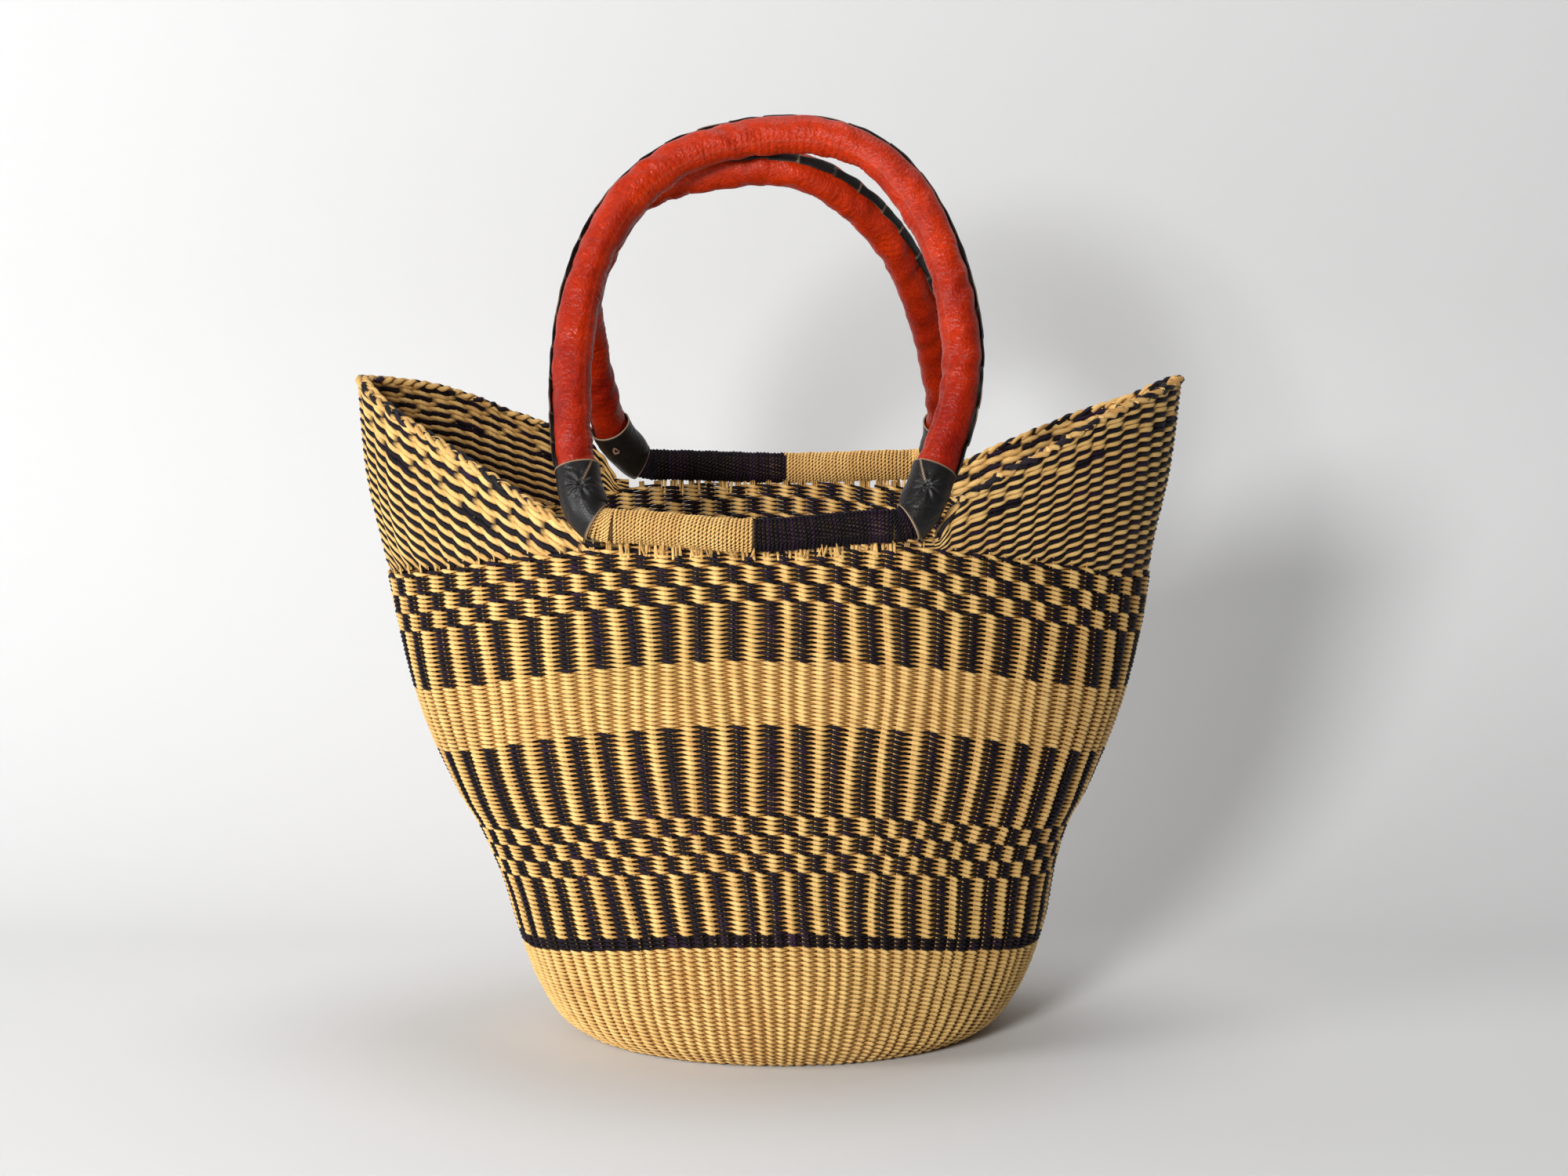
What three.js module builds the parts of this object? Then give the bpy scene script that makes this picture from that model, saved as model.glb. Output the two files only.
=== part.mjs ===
// Woven market basket: a twined grass body with two raised wings, and two leather-sleeved carrying handles.
// Millimetres, Z up, Y from the front (-) to the back (+), X along the width. The base stands on Z = 0.
// The front and the back are the same half turned by 180 degrees about Z, as the basket is made.
import * as THREE from "three";

// Overall sizes of the woven body.
const TIP_SPAN = 424; // wing tip to wing tip
const MOUTH_DEPTH = 243; // front wall to back wall, outside
const TIP_HEIGHT = 340; // wing tips above the floor
const BODY_HEIGHT = 268; // front and back wall above the floor, under the rolls
const WALL = 5; // thickness of the twined wall
const FOLD_WALL = 7; // thickness where the wall turns round the two end folds
const BASE_THICKNESS = 5;
const GAP = 0.3; // clearance between pieces that touch on the real basket
const ROW_GAP = 0.7; // clearance between one woven band and the next
const BEND_GAP = 1.5; // clearance between pieces that follow each other round a bend

// The rolls: bundles of stakes turned down on the rim and wrapped with cord.
const ROLL_DIAMETER = 17;
const ROLL_CORE_DIAMETER = 14.4;
const ROLL_CLEARANCE = 2.5; // under the roll ends, above the front and back wall
const ROLL_HEIGHT = BODY_HEIGHT + ROLL_CLEARANCE + ROLL_DIAMETER / 2; // axis of the roll ends above the floor
const ROLL_SAG = 3; // the middle of a roll lies this much lower
const ROLL_BULGE = 10; // the middle of a roll stands out this much further
const ROLL_END_SETBACK = 7.5; // roll ends lie this much nearer the middle than the widest wall
const SPLIT = -8; // where the straw wrap meets the purple wrap

// The handles: a grass bundle in a leather sleeve, rising from the roll ends.
const SLEEVE_DIAMETER = 19.5;
const SLEEVE_BORE = 15;
const CUFF_GAP = 0.25; // between the sleeve and the cuff drawn over it
const CUFF_WALL = 1.2;
const ELBOW_RADIUS = 14; // centreline of the bend from the roll into the arch
const CUFF_START = 8.5; // along the bundle from the roll end
const CUFF_LENGTH = 30;
const SLEEVE_TUCK = 9; // how far the sleeve runs into the cuff
const STRIP_WIDTH = 6;
const STRIP_THICKNESS = 2.2;
const STRIP_SETBACK = 3; // between the end of a cuff and the start of the strip
const STRIP_TURN = 20; // degrees from the outer side of the arch towards its back face
const TIE_DIAMETER = 5;
const TIE_THICKNESS = 1.6;

const SHAPES = {
  front: { rise: 208.5, halfSpan: 96.5, lean: 28, left: -76, right: 60 },
  back: { rise: 200, halfSpan: 97, lean: 33.7, left: -78, right: 63 },
};
// Centrelines of the two arches as fractions of half span and rise, left to right.
const ARCHES = {
  front: [
    [-0.964, 0.129],
    [-1, 0.288],
    [-0.995, 0.456],
    [-0.943, 0.614],
    [-0.839, 0.748],
    [-0.684, 0.854],
    [-0.456, 0.94],
    [-0.145, 0.988],
    [0.104, 1],
    [0.332, 0.988],
    [0.549, 0.94],
    [0.705, 0.863],
    [0.829, 0.758],
    [0.922, 0.633],
    [0.974, 0.494],
    [0.974, 0.384],
    [0.943, 0.288],
    [0.891, 0.211],
    [0.829, 0.129],
  ],
  back: [
    [-0.96, 0.147],
    [-0.941, 0.258],
    [-0.899, 0.393],
    [-0.837, 0.525],
    [-0.746, 0.655],
    [-0.616, 0.785],
    [-0.472, 0.88],
    [-0.28, 0.96],
    [-0.075, 0.998],
    [0.138, 1],
    [0.376, 0.98],
    [0.549, 0.955],
    [0.718, 0.898],
    [0.86, 0.792],
    [0.946, 0.682],
    [1, 0.552],
    [0.989, 0.446],
    [0.962, 0.339],
    [0.933, 0.258],
    [0.889, 0.138],
  ],
};
const ELBOW_TURN = { front: [84, 67], back: [86, 62] }; // degrees of bend at the left and right roots

// Half length and half depth of the body as fractions of the largest, against height over TIP_HEIGHT.
const LENGTH_PROFILE = [
  [0, 0.495],
  [0.026, 0.55],
  [0.076, 0.6],
  [0.126, 0.632],
  [0.176, 0.656],
  [0.25, 0.684],
  [0.324, 0.728],
  [0.374, 0.774],
  [0.494, 0.854],
  [0.618, 0.906],
  [0.735, 0.937],
  [0.856, 0.977],
  [1, 1],
];
const DEPTH_PROFILE = [
  [0, 0.724],
  [0.029, 0.823],
  [0.088, 0.905],
  [0.176, 0.963],
  [0.294, 0.988],
  [0.441, 1],
  [1, 1],
];
// How far the body stands to the right of the middle at each height.
const LEAN_PROFILE = [
  [0, 5.3],
  [0.18, 5.3],
  [0.31, 2],
  [0.44, 0.6],
  [0.65, 0],
  [0.79, -1.2],
  [1, 0],
];
// How pointed the two ends are in plan: 0.5 is an ellipse, 1 a lens.
const POINT_PROFILE = [
  [0, 0.5],
  [0.4, 0.52],
  [0.7, 0.6],
  [1, 0.72],
];
// Edges of the woven bands, as fractions of BODY_HEIGHT at the folds and at the front and back.
const ROW_LINES = {
  foot: [0, 0],
  line_start: [0.179, 0.26],
  line_end: [0.201, 0.284],
  lower_steps: [0.321, 0.404],
  middle_stripes: [0.437, 0.545],
  straw: [0.552, 0.679],
  upper_stripes: [0.672, 0.797],
  upper_steps: [0.782, 0.907],
  wings: [0.892, 1.015],
};
const BANDS = [
  ["lower_straw_band", "foot", "line_start", "straw"],
  ["dark_line_band", "line_start", "line_end", "purple"],
  ["lower_stripe_band", "line_end", "lower_steps", "mixed"],
  ["lower_step_band", "lower_steps", "middle_stripes", "mixed"],
  ["middle_stripe_band", "middle_stripes", "straw", "mixed"],
  ["middle_straw_band", "straw", "upper_stripes", "straw"],
  ["upper_stripe_band", "upper_stripes", "upper_steps", "mixed"],
  ["upper_step_band", "upper_steps", "wings", "mixed"],
];
// Wing rim from the roll end to the tip: part of the half length, part of the way from roll foot to tip.
const LOW_RIM = [
  [0.44, 0.08],
  [0.478, 0.15],
  [0.62, 0.38],
  [0.765, 0.61],
  [0.91, 0.82],
  [1, 1],
];
const HIGH_RIM = [
  [0.415, 0.1],
  [0.435, 0.21],
  [0.46, 0.31],
  [0.513, 0.42],
  [0.673, 0.64],
  [0.816, 0.84],
  [1, 1],
];

const AROUND = 44; // stations round a band
const WING_STATIONS = 22;
const BORDER = 4; // the knotted border along a wing rim
const TUBE_SIDES = 10;
const TIE_SIDES = 8;
const FOOT_STEPS = 3; // steps up the lowest band, which is the most curved
const WING_STEPS = 2;
const ELBOW_STEPS = 3;
const ARCH_STEPS = 20;
// Places in the row of stations from either root of an arch.
const CUFF_OPEN = 2; // the cuff starts
const WRAP_END = 5; // the root wrap ends, and the sleeve starts one further on
const SLEEVE_OPEN = 8; // the cuff has ended and the sleeve shows
const ROLL_STATIONS = 4;

const MATERIALS = {
  straw: { color: 0xcfa25c, roughness: 0.75 },
  mixed: { color: 0x8a6a4e, roughness: 0.75 },
  purple: { color: 0x2c2036, roughness: 0.7 },
  core: { color: 0xb08a4c, roughness: 0.85 },
  sleeve: { color: 0xc8371c, roughness: 0.5 },
  black: { color: 0x1f1d1c, roughness: 0.5 },
  thread: { color: 0x8c6a4a, roughness: 0.8 },
};

// Smooth reading of a [position, value] list, with straight ends.
function read(list, at) {
  const last = list.length - 1;
  if (at <= list[0][0]) return list[0][1];
  if (at >= list[last][0]) return list[last][1];
  const i = list.findIndex((entry) => entry[0] > at) - 1;
  const slope = (j) => {
    const a = list[Math.max(j - 1, 0)];
    const b = list[Math.min(j + 1, last)];
    return (b[1] - a[1]) / (b[0] - a[0]);
  };
  const [x0, y0] = list[i];
  const [x1, y1] = list[i + 1];
  const span = x1 - x0;
  const t = (at - x0) / span;
  const rise = y1 - y0;
  const bend = (1 - t) * (slope(i) * span - rise) - t * (slope(i + 1) * span - rise);
  return y0 + t * rise + t * (1 - t) * bend;
}

// A point of the wall at a turn round Z (0 is the right fold) and a height, taken in by inset.
function wallPoint(turn, height, inset) {
  const level = height / TIP_HEIGHT;
  const foldInset = (inset * FOLD_WALL) / WALL;
  const length = (TIP_SPAN / 2) * read(LENGTH_PROFILE, level) - foldInset;
  const depth = (MOUTH_DEPTH / 2) * read(DEPTH_PROFILE, level) - inset;
  const out = Math.sin(turn);
  const reach = Math.abs(out) ** (2 * read(POINT_PROFILE, level));
  const across = length * Math.cos(turn) + read(LEAN_PROFILE, level);
  return new THREE.Vector3(across, Math.sign(out) * depth * reach, height);
}

// Height of a row line: lowest at the folds, highest at the front and the back.
function lineHeight(line, turn) {
  const [fold, face] = ROW_LINES[line];
  const height = BODY_HEIGHT * (fold + (face - fold) * Math.sin(turn) ** 2);
  return Math.min(height, BODY_HEIGHT);
}

// Height of a wing rim; the rim is higher at the front right and the back left.
function rimHeight(turn) {
  const rim = Math.sin(turn) * Math.cos(turn) < 0 ? HIGH_RIM : LOW_RIM;
  const way = read(rim, Math.abs(Math.cos(turn)));
  return BODY_HEIGHT + way * (TIP_HEIGHT - BODY_HEIGHT);
}

// A closed solid through a row of loops. Looped solids join the last loop to the first; others get ends.
function solid(loops, looped) {
  const size = loops[0].length;
  const points = loops.flat();
  const faces = [];
  const count = looped ? loops.length : loops.length - 1;
  for (let i = 0; i < count; i++) {
    const next = (i + 1) % loops.length;
    for (let j = 0; j < size; j++) {
      const a = i * size + j;
      const b = i * size + ((j + 1) % size);
      const c = next * size + ((j + 1) % size);
      const d = next * size + j;
      faces.push([a, b, c], [a, c, d]);
    }
  }
  if (!looped) {
    const end = (loops.length - 1) * size;
    for (let j = 1; j < size - 1; j++) {
      faces.push([0, j + 1, j], [end, end + j, end + j + 1]);
    }
  }
  const volume = faces.reduce((sum, [a, b, c]) => {
    const normal = new THREE.Vector3().crossVectors(points[b], points[c]);
    return sum + points[a].dot(normal);
  }, 0);
  const index = volume < 0 ? faces.map(([a, b, c]) => [a, c, b]) : faces;
  const geometry = new THREE.BufferGeometry().setFromPoints(points);
  geometry.setIndex(index.flat());
  geometry.computeVertexNormals();
  return geometry;
}

function mesh(name, geometry, finish) {
  const made = new THREE.Mesh(geometry, new THREE.MeshStandardMaterial(MATERIALS[finish]));
  made.name = name;
  return made;
}

// Section of the wall at one turn, from a lower to an upper height.
function wallSection(turn, low, high, steps) {
  const outside = [];
  const inside = [];
  for (let i = 0; i <= steps; i++) {
    const height = low + ((high - low) * i) / steps;
    outside.push(wallPoint(turn, height, 0));
    inside.unshift(wallPoint(turn, height, WALL));
  }
  return [...outside, ...inside];
}

function band(name, low, high, finish) {
  const loops = [];
  const steps = low === "foot" ? FOOT_STEPS : 1;
  const bottomGap = low === "foot" ? GAP : ROW_GAP;
  for (let i = 0; i < AROUND; i++) {
    const turn = (i / AROUND) * 2 * Math.PI;
    const bottom = lineHeight(low, turn) + bottomGap;
    loops.push(wallSection(turn, bottom, lineHeight(high, turn), steps));
  }
  return mesh(name, solid(loops, true), finish);
}

function base() {
  const loops = [0, BASE_THICKNESS].map((height) => {
    const loop = [];
    for (let i = 0; i < AROUND; i++) {
      const edge = wallPoint((i / AROUND) * 2 * Math.PI, 0, WALL + GAP);
      loop.push(edge.setZ(height));
    }
    return loop;
  });
  return mesh("base_disc", solid(loops, false), "straw");
}

// Turns round Z along one wing, from its high side round the fold to its low side.
function wingTurns(middle) {
  const turns = [];
  const first = -Math.acos(HIGH_RIM[0][0]);
  const last = Math.acos(LOW_RIM[0][0]);
  for (let i = 0; i <= WING_STATIONS; i++) {
    turns.push(middle + first + ((last - first) * i) / WING_STATIONS);
  }
  return turns;
}

function wing(name, middle) {
  const loops = wingTurns(middle).map((turn) => {
    const bottom = lineHeight("wings", turn) + ROW_GAP;
    return wallSection(turn, bottom, rimHeight(turn) - BORDER - ROW_GAP, WING_STEPS);
  });
  return mesh(name, solid(loops, false), "mixed");
}

function wingBorder(name, middle) {
  const loops = wingTurns(middle).map((turn) =>
    wallSection(turn, rimHeight(turn) - BORDER, rimHeight(turn), 1),
  );
  return mesh(name, solid(loops, false), "straw");
}

// Stations along a curve: centre, direction, and the two directions across it.
function stationsAlong(centres, ends) {
  return centres.map((centre, i) => {
    const before = centres[Math.max(i - 1, 0)];
    const after = centres[Math.min(i + 1, centres.length - 1)];
    let along = after.clone().sub(before).normalize();
    if (ends && i === 0) along = ends[0];
    if (ends && i === centres.length - 1) along = ends[1];
    const face = new THREE.Vector3(0, 1, 0);
    const outer = new THREE.Vector3().crossVectors(along, face).normalize();
    const side = new THREE.Vector3().crossVectors(outer, along);
    return { centre, along, outer, side };
  });
}

function around(station, radius, degrees) {
  const angle = THREE.MathUtils.degToRad(degrees);
  return station.centre
    .clone()
    .addScaledVector(station.outer, radius * Math.cos(angle))
    .addScaledVector(station.side, radius * Math.sin(angle));
}

function rod(stations, radius) {
  const loops = stations.map((station) => {
    const loop = [];
    for (let i = 0; i < TUBE_SIDES; i++) {
      loop.push(around(station, radius, (i / TUBE_SIDES) * 360));
    }
    return loop;
  });
  return solid(loops, false);
}

// A tube open at both ends; radii are given at each station.
function hollow(stations, outerRadii, innerRadii) {
  const loops = [];
  for (let i = 0; i < TUBE_SIDES; i++) {
    const degrees = (i / TUBE_SIDES) * 360;
    const outside = stations.map((station, j) => around(station, outerRadii[j], degrees));
    const inside = stations.map((station, j) => around(station, innerRadii[j], degrees));
    loops.push([...outside, ...inside.reverse()]);
  }
  return solid(loops, true);
}

function lengthsAlong(centres) {
  const lengths = [0];
  for (let i = 1; i < centres.length; i++) {
    lengths.push(lengths[i - 1] + centres[i].distanceTo(centres[i - 1]));
  }
  return lengths;
}

// A roll lies along X at the rim in its own half; x runs from its left end to its right end.
function roll(side) {
  const { left, right } = SHAPES[side];
  const centreAt = (x) => {
    const way = (x - left) / (right - left);
    const swell = Math.sin(Math.PI * way) ** 2;
    return new THREE.Vector3(x, -rollEndDepth - ROLL_BULGE * swell, ROLL_HEIGHT - ROLL_SAG * swell);
  };
  const run = (from, to, steps) => {
    const centres = [];
    for (let i = 0; i <= steps; i++) {
      centres.push(centreAt(from + ((to - from) * i) / steps));
    }
    const ends = [from, to].map((x) => centreAt(x + GAP).sub(centreAt(x - GAP)).normalize());
    if (from <= left + GAP) ends[0].set(1, 0, 0);
    if (to >= right - GAP) ends[1].set(1, 0, 0);
    return stationsAlong(centres, ends);
  };
  const wrap = (name, from, to, finish) => {
    const stations = run(from, to, ROLL_STATIONS);
    const outside = stations.map(() => ROLL_DIAMETER / 2);
    const inside = stations.map(() => ROLL_CORE_DIAMETER / 2 + GAP);
    return mesh(name, hollow(stations, outside, inside), finish);
  };
  const core = rod(run(left + GAP, right - GAP, 2 * ROLL_STATIONS), ROLL_CORE_DIAMETER / 2);
  return [
    mesh(side + "_roll_core", core, "core"),
    wrap(side + "_roll_straw_wrap", left + GAP, SPLIT - GAP / 2, "straw"),
    wrap(side + "_roll_purple_wrap", SPLIT + GAP / 2, right - GAP, "purple"),
  ];
}

// Centreline of one arch in its own plane: roots on Z = 0 running along X, top at Z = rise.
function archCentres(side) {
  const { rise, halfSpan, left, right } = SHAPES[side];
  const [leftTurn, rightTurn] = ELBOW_TURN[side].map(THREE.MathUtils.degToRad);
  const elbow = (x, direction, turn) =>
    Array.from({ length: ELBOW_STEPS + 1 }, (_, i) => {
      const angle = (i / ELBOW_STEPS) * turn;
      const reach = ELBOW_RADIUS * Math.sin(angle);
      return new THREE.Vector3(x + direction * reach, 0, ELBOW_RADIUS * (1 - Math.cos(angle)));
    });
  const bow = ARCHES[side].map(([x, z]) => new THREE.Vector3(x * halfSpan, 0, z * rise));
  const knots = [...elbow(left, -1, leftTurn), ...bow, ...elbow(right, 1, rightTurn).reverse()];
  return new THREE.CatmullRomCurve3(knots, false, "centripetal");
}

// Stations along one arch. Every piece of the handle uses a run of the same stations.
function archStations(side) {
  const curve = archCentres(side);
  const length = curve.getLength();
  const sleeveStart = CUFF_START + CUFF_LENGTH - SLEEVE_TUCK;
  const cuffEnd = CUFF_START + CUFF_LENGTH;
  const inCuff = (part) => CUFF_START + part * (sleeveStart - CUFF_START);
  const root = [0, CUFF_START / 2, CUFF_START, inCuff(1 / 3), inCuff(2 / 3), sleeveStart];
  root.push(sleeveStart + BEND_GAP, cuffEnd, cuffEnd + STRIP_SETBACK);
  const middle = [];
  const first = root[root.length - 1];
  const step = (length - 2 * first) / ARCH_STEPS;
  for (let i = 1; i < ARCH_STEPS; i++) {
    middle.push(first + i * step);
  }
  const marks = [...root, ...middle, ...root.map((mark) => length - mark).reverse()];
  const centres = marks.map((mark) => curve.getPointAt(mark / length));
  const ends = [new THREE.Vector3(-1, 0, 0), new THREE.Vector3(-1, 0, 0)];
  return stationsAlong(centres, ends);
}

function archPieces(side) {
  const stations = archStations(side);
  const count = stations.length;
  const coreRadius = ROLL_CORE_DIAMETER / 2;
  const sleeveRadius = SLEEVE_DIAMETER / 2;
  const cuffRadius = Math.max(sleeveRadius + CUFF_GAP, ROLL_DIAMETER / 2 + GAP) + CUFF_WALL;
  const tube = (name, run, outside, inside, finish) =>
    mesh(side + name, hollow(run, run.map(outside), run.map(inside)), finish);

  const stripInner = (sleeveRadius + GAP) / Math.cos(STRIP_WIDTH / SLEEVE_DIAMETER);
  const half = THREE.MathUtils.radToDeg(STRIP_WIDTH / SLEEVE_DIAMETER);
  const stripLoops = stations.slice(SLEEVE_OPEN, count - SLEEVE_OPEN).map((station) => [
    around(station, stripInner, STRIP_TURN - half),
    around(station, stripInner + STRIP_THICKNESS, STRIP_TURN - half),
    around(station, stripInner + STRIP_THICKNESS, STRIP_TURN + half),
    around(station, stripInner, STRIP_TURN + half),
  ]);

  const sleeve = stations.slice(WRAP_END + 1, count - WRAP_END - 1);
  const pieces = [
    mesh(side + "_handle_core", rod(stations, coreRadius), "core"),
    tube("_handle_sleeve", sleeve, () => sleeveRadius, () => SLEEVE_BORE / 2, "sleeve"),
    mesh(side + "_handle_strip", solid(stripLoops, false), "black"),
  ];
  const wrapRadius = ROLL_DIAMETER / 2;
  const startRadius = wrapRadius + GAP + CUFF_WALL;
  for (const end of ["left", "right"]) {
    const run = end === "left" ? stations : [...stations].reverse();
    const cuff = run.slice(CUFF_OPEN, SLEEVE_OPEN);
    const swell = (i) => Math.min(1, i / (WRAP_END - CUFF_OPEN));
    const cuffOutside = (station, i) => startRadius + (cuffRadius - startRadius) * swell(i);
    const cuffInside = (station, i) => cuffOutside(station, i) - CUFF_WALL;
    const wrap = run.slice(0, WRAP_END + 1);
    const finish = end === "left" ? "straw" : "purple";
    pieces.push(
      tube(`_${end}_root_wrap`, wrap, () => wrapRadius, () => coreRadius + GAP, finish),
      tube(`_${end}_cuff`, cuff, cuffOutside, cuffInside, "black"),
      tie(side + `_${end}_cuff_tie`, run[WRAP_END], cuffRadius),
    );
  }
  return pieces;
}

// The small thread knot that draws a cuff together, on the face of the cuff towards the other handle.
function tie(name, station, radius) {
  const face = station.side.y > 0 ? station.side : station.side.clone().negate();
  const loops = [GAP, GAP + TIE_THICKNESS].map((lift) => {
    const loop = [];
    for (let i = 0; i < TIE_SIDES; i++) {
      const angle = (i / TIE_SIDES) * 2 * Math.PI;
      loop.push(
        station.centre
          .clone()
          .addScaledVector(face, radius + lift)
          .addScaledVector(station.along, (TIE_DIAMETER / 2) * Math.cos(angle))
          .addScaledVector(station.outer, (TIE_DIAMETER / 2) * Math.sin(angle)),
      );
    }
    return loop;
  });
  return mesh(name, solid(loops, false), "thread");
}

const rollEndDepth = MOUTH_DEPTH / 2 - ROLL_END_SETBACK;
const basket = new THREE.Group();
basket.name = "market_basket";
basket.add(base());
for (const [name, low, high, finish] of BANDS) basket.add(band(name, low, high, finish));
basket.add(wing("right_wing", 0), wing("left_wing", Math.PI));
basket.add(wingBorder("right_wing_border", 0), wingBorder("left_wing_border", Math.PI));
for (const side of ["front", "back"]) {
  const half = new THREE.Group();
  half.rotation.z = side === "front" ? 0 : Math.PI;
  const arch = new THREE.Group();
  arch.position.set(0, -rollEndDepth, ROLL_HEIGHT);
  arch.rotation.x = -THREE.MathUtils.degToRad(SHAPES[side].lean);
  arch.add(...archPieces(side));
  half.add(...roll(side), arch);
  basket.add(half);
}

export default basket;
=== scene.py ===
# %% [markdown]
# # A twined market basket with two leather-sleeved handles
# The basket is woven by hand from twisted grass: upright stakes, and pairs of strands that
# cross between every two stakes. The scene builds those strands one by one as real
# geometry, because their lens-shaped stitches make the outline, the shadows and the look.
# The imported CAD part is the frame: it gives the bodies that move and the box to stay in.

# %% Frame and tools
import math

import bpy
import numpy as np
from mathutils import Matrix


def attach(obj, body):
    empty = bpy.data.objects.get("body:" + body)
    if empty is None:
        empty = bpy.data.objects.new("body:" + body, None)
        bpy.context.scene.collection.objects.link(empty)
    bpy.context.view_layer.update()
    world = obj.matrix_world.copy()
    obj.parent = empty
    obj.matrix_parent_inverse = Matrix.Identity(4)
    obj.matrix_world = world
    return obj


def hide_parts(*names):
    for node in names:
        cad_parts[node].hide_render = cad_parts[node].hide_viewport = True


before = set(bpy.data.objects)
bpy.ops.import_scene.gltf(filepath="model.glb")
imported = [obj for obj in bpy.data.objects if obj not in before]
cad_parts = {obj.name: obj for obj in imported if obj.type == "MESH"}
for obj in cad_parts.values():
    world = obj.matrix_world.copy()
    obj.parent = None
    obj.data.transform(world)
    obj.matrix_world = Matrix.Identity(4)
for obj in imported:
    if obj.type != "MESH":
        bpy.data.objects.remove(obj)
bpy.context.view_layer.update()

# %% [markdown]
# ## Sizes of the body
# All lengths here are millimetres, and the mesh builder turns them into metres. The body is
# a wall whose half length, half depth and pointedness change with height. The lists hold
# [position, value] and are read as smooth curves.

# %% Sizes
MM = 0.001
TIP_SPAN, MOUTH_DEPTH, TIP_HEIGHT, BODY_HEIGHT = 424.0, 243.0, 340.0, 268.0
WALL, FOLD_WALL = 5.0, 7.0
GAP = 0.3         # between neighbouring pieces
LENGTH_PROFILE = [[0, .495], [.026, .55], [.076, .6], [.126, .632], [.176, .656], [.25, .684],
                  [.324, .728], [.374, .774], [.494, .854], [.618, .906], [.735, .937],
                  [.856, .977], [1, 1]]
DEPTH_PROFILE = [[0, .724], [.029, .823], [.088, .905], [.176, .963], [.294, .988],
                 [.441, 1], [1, 1]]
LEAN_PROFILE = [[0, 5.3], [.18, 5.3], [.31, 2], [.44, .6], [.65, 0], [.79, -1.2], [1, 0]]
POINT_PROFILE = [[0, .5], [.4, .52], [.7, .6], [1, .72]]
LOW_RIM = [[.44, .08], [.478, .15], [.62, .38], [.765, .61], [.91, .82], [1, 1]]
HIGH_RIM = [[.415, .1], [.435, .21], [.46, .31], [.513, .42], [.673, .64], [.816, .84], [1, 1]]
LINES = {"foot": [0, 0], "line_start": [.179, .26], "line_end": [.201, .284],
         "lower_steps": [.321, .404], "middle_stripes": [.437, .545], "straw": [.552, .679],
         "upper_stripes": [.672, .797], "upper_steps": [.782, .907], "wings": [.892, 1.015]}
STAKES = 100      # uprights round the body
PER_STAKE = 4     # samples of a strand between two stakes


def read(pairs, at):
    """Smooth reading of a [position, value] list at an array of positions."""
    x, y = np.array(pairs, float).T
    slope = np.empty_like(y)
    slope[1:-1] = (y[2:] - y[:-2]) / (x[2:] - x[:-2])
    slope[0] = (y[1] - y[0]) / (x[1] - x[0])
    slope[-1] = (y[-1] - y[-2]) / (x[-1] - x[-2])
    at = np.clip(at, x[0], x[-1])
    i = np.clip(np.searchsorted(x, at, side="right") - 1, 0, len(x) - 2)
    span = x[i + 1] - x[i]
    rise = y[i + 1] - y[i]
    t = (at - x[i]) / span
    bend = (1 - t) * (slope[i] * span - rise) - t * (slope[i + 1] * span - rise)
    return y[i] + t * rise + t * (1 - t) * bend


def wall(turn, height, inset):
    """Point of the wall at a turn round Z, a height, and a depth into the wall."""
    level = height / TIP_HEIGHT
    length = TIP_SPAN / 2 * read(LENGTH_PROFILE, level) - inset * FOLD_WALL / WALL
    depth = MOUTH_DEPTH / 2 * read(DEPTH_PROFILE, level) - inset
    out = np.sin(turn)
    reach = np.abs(out) ** (2 * read(POINT_PROFILE, level))
    x = length * np.cos(turn) + read(LEAN_PROFILE, level)
    return np.stack(np.broadcast_arrays(x, np.sign(out) * depth * reach, height), -1)


def line_height(line, turn):
    """Height of a row line: lowest at the folds, highest at the front and the back."""
    fold, face = LINES[line]
    return BODY_HEIGHT * (fold + (face - fold) * np.sin(turn) ** 2)


def rim_height(turn):
    """Height of the wing rims, which rise further at the front right and the back left."""
    part = np.abs(np.cos(turn))
    way = np.where(np.sin(turn) * np.cos(turn) < 0, read(HIGH_RIM, part), read(LOW_RIM, part))
    return BODY_HEIGHT + way * (TIP_HEIGHT - BODY_HEIGHT)


# %% [markdown]
# ## Where the stakes stand
# A weaver keeps the stakes nearly evenly apart, a little wider towards the folds, where the
# wall turns away. They are spaced along the wall at each height, quarter by quarter, and a
# table turns "stake number" into a turn round Z.

# %% Even stakes
LEVELS = np.linspace(0, TIP_HEIGHT, 35)
WIDER = 0.9           # 0 spaces the stakes evenly, 1 spaces them evenly along X
WIDEST = 1.45         # but never more than this many times as far apart
STRAY = 0.16          # how far a stake strays to a side, as a share of their spacing


def even_turns():
    """A table of turns: one row for each level, one column for each sample along the stakes."""
    fine = np.linspace(0, np.pi / 2, 400)
    quarter = STAKES // 4
    rows = []
    for level in LEVELS:
        points = wall(fine, np.full_like(fine, level), 0.0)
        moves = np.diff(points, axis=0)
        plain = np.linalg.norm(moves, axis=1)
        steps = np.maximum((1 - WIDER) * plain + WIDER * np.abs(moves[:, 0]), plain / WIDEST)
        far = np.concatenate([[0], np.cumsum(steps)]) / steps.sum()
        rows.append(np.interp(np.linspace(0, 1, quarter * PER_STAKE + 1), far, fine))
    first = np.array(rows)
    half = np.concatenate([first, (np.pi - first[:, ::-1])[:, 1:]], axis=1)
    return np.concatenate([half, (half + np.pi)[:, 1:]], axis=1)


EVEN = even_turns()


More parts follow.
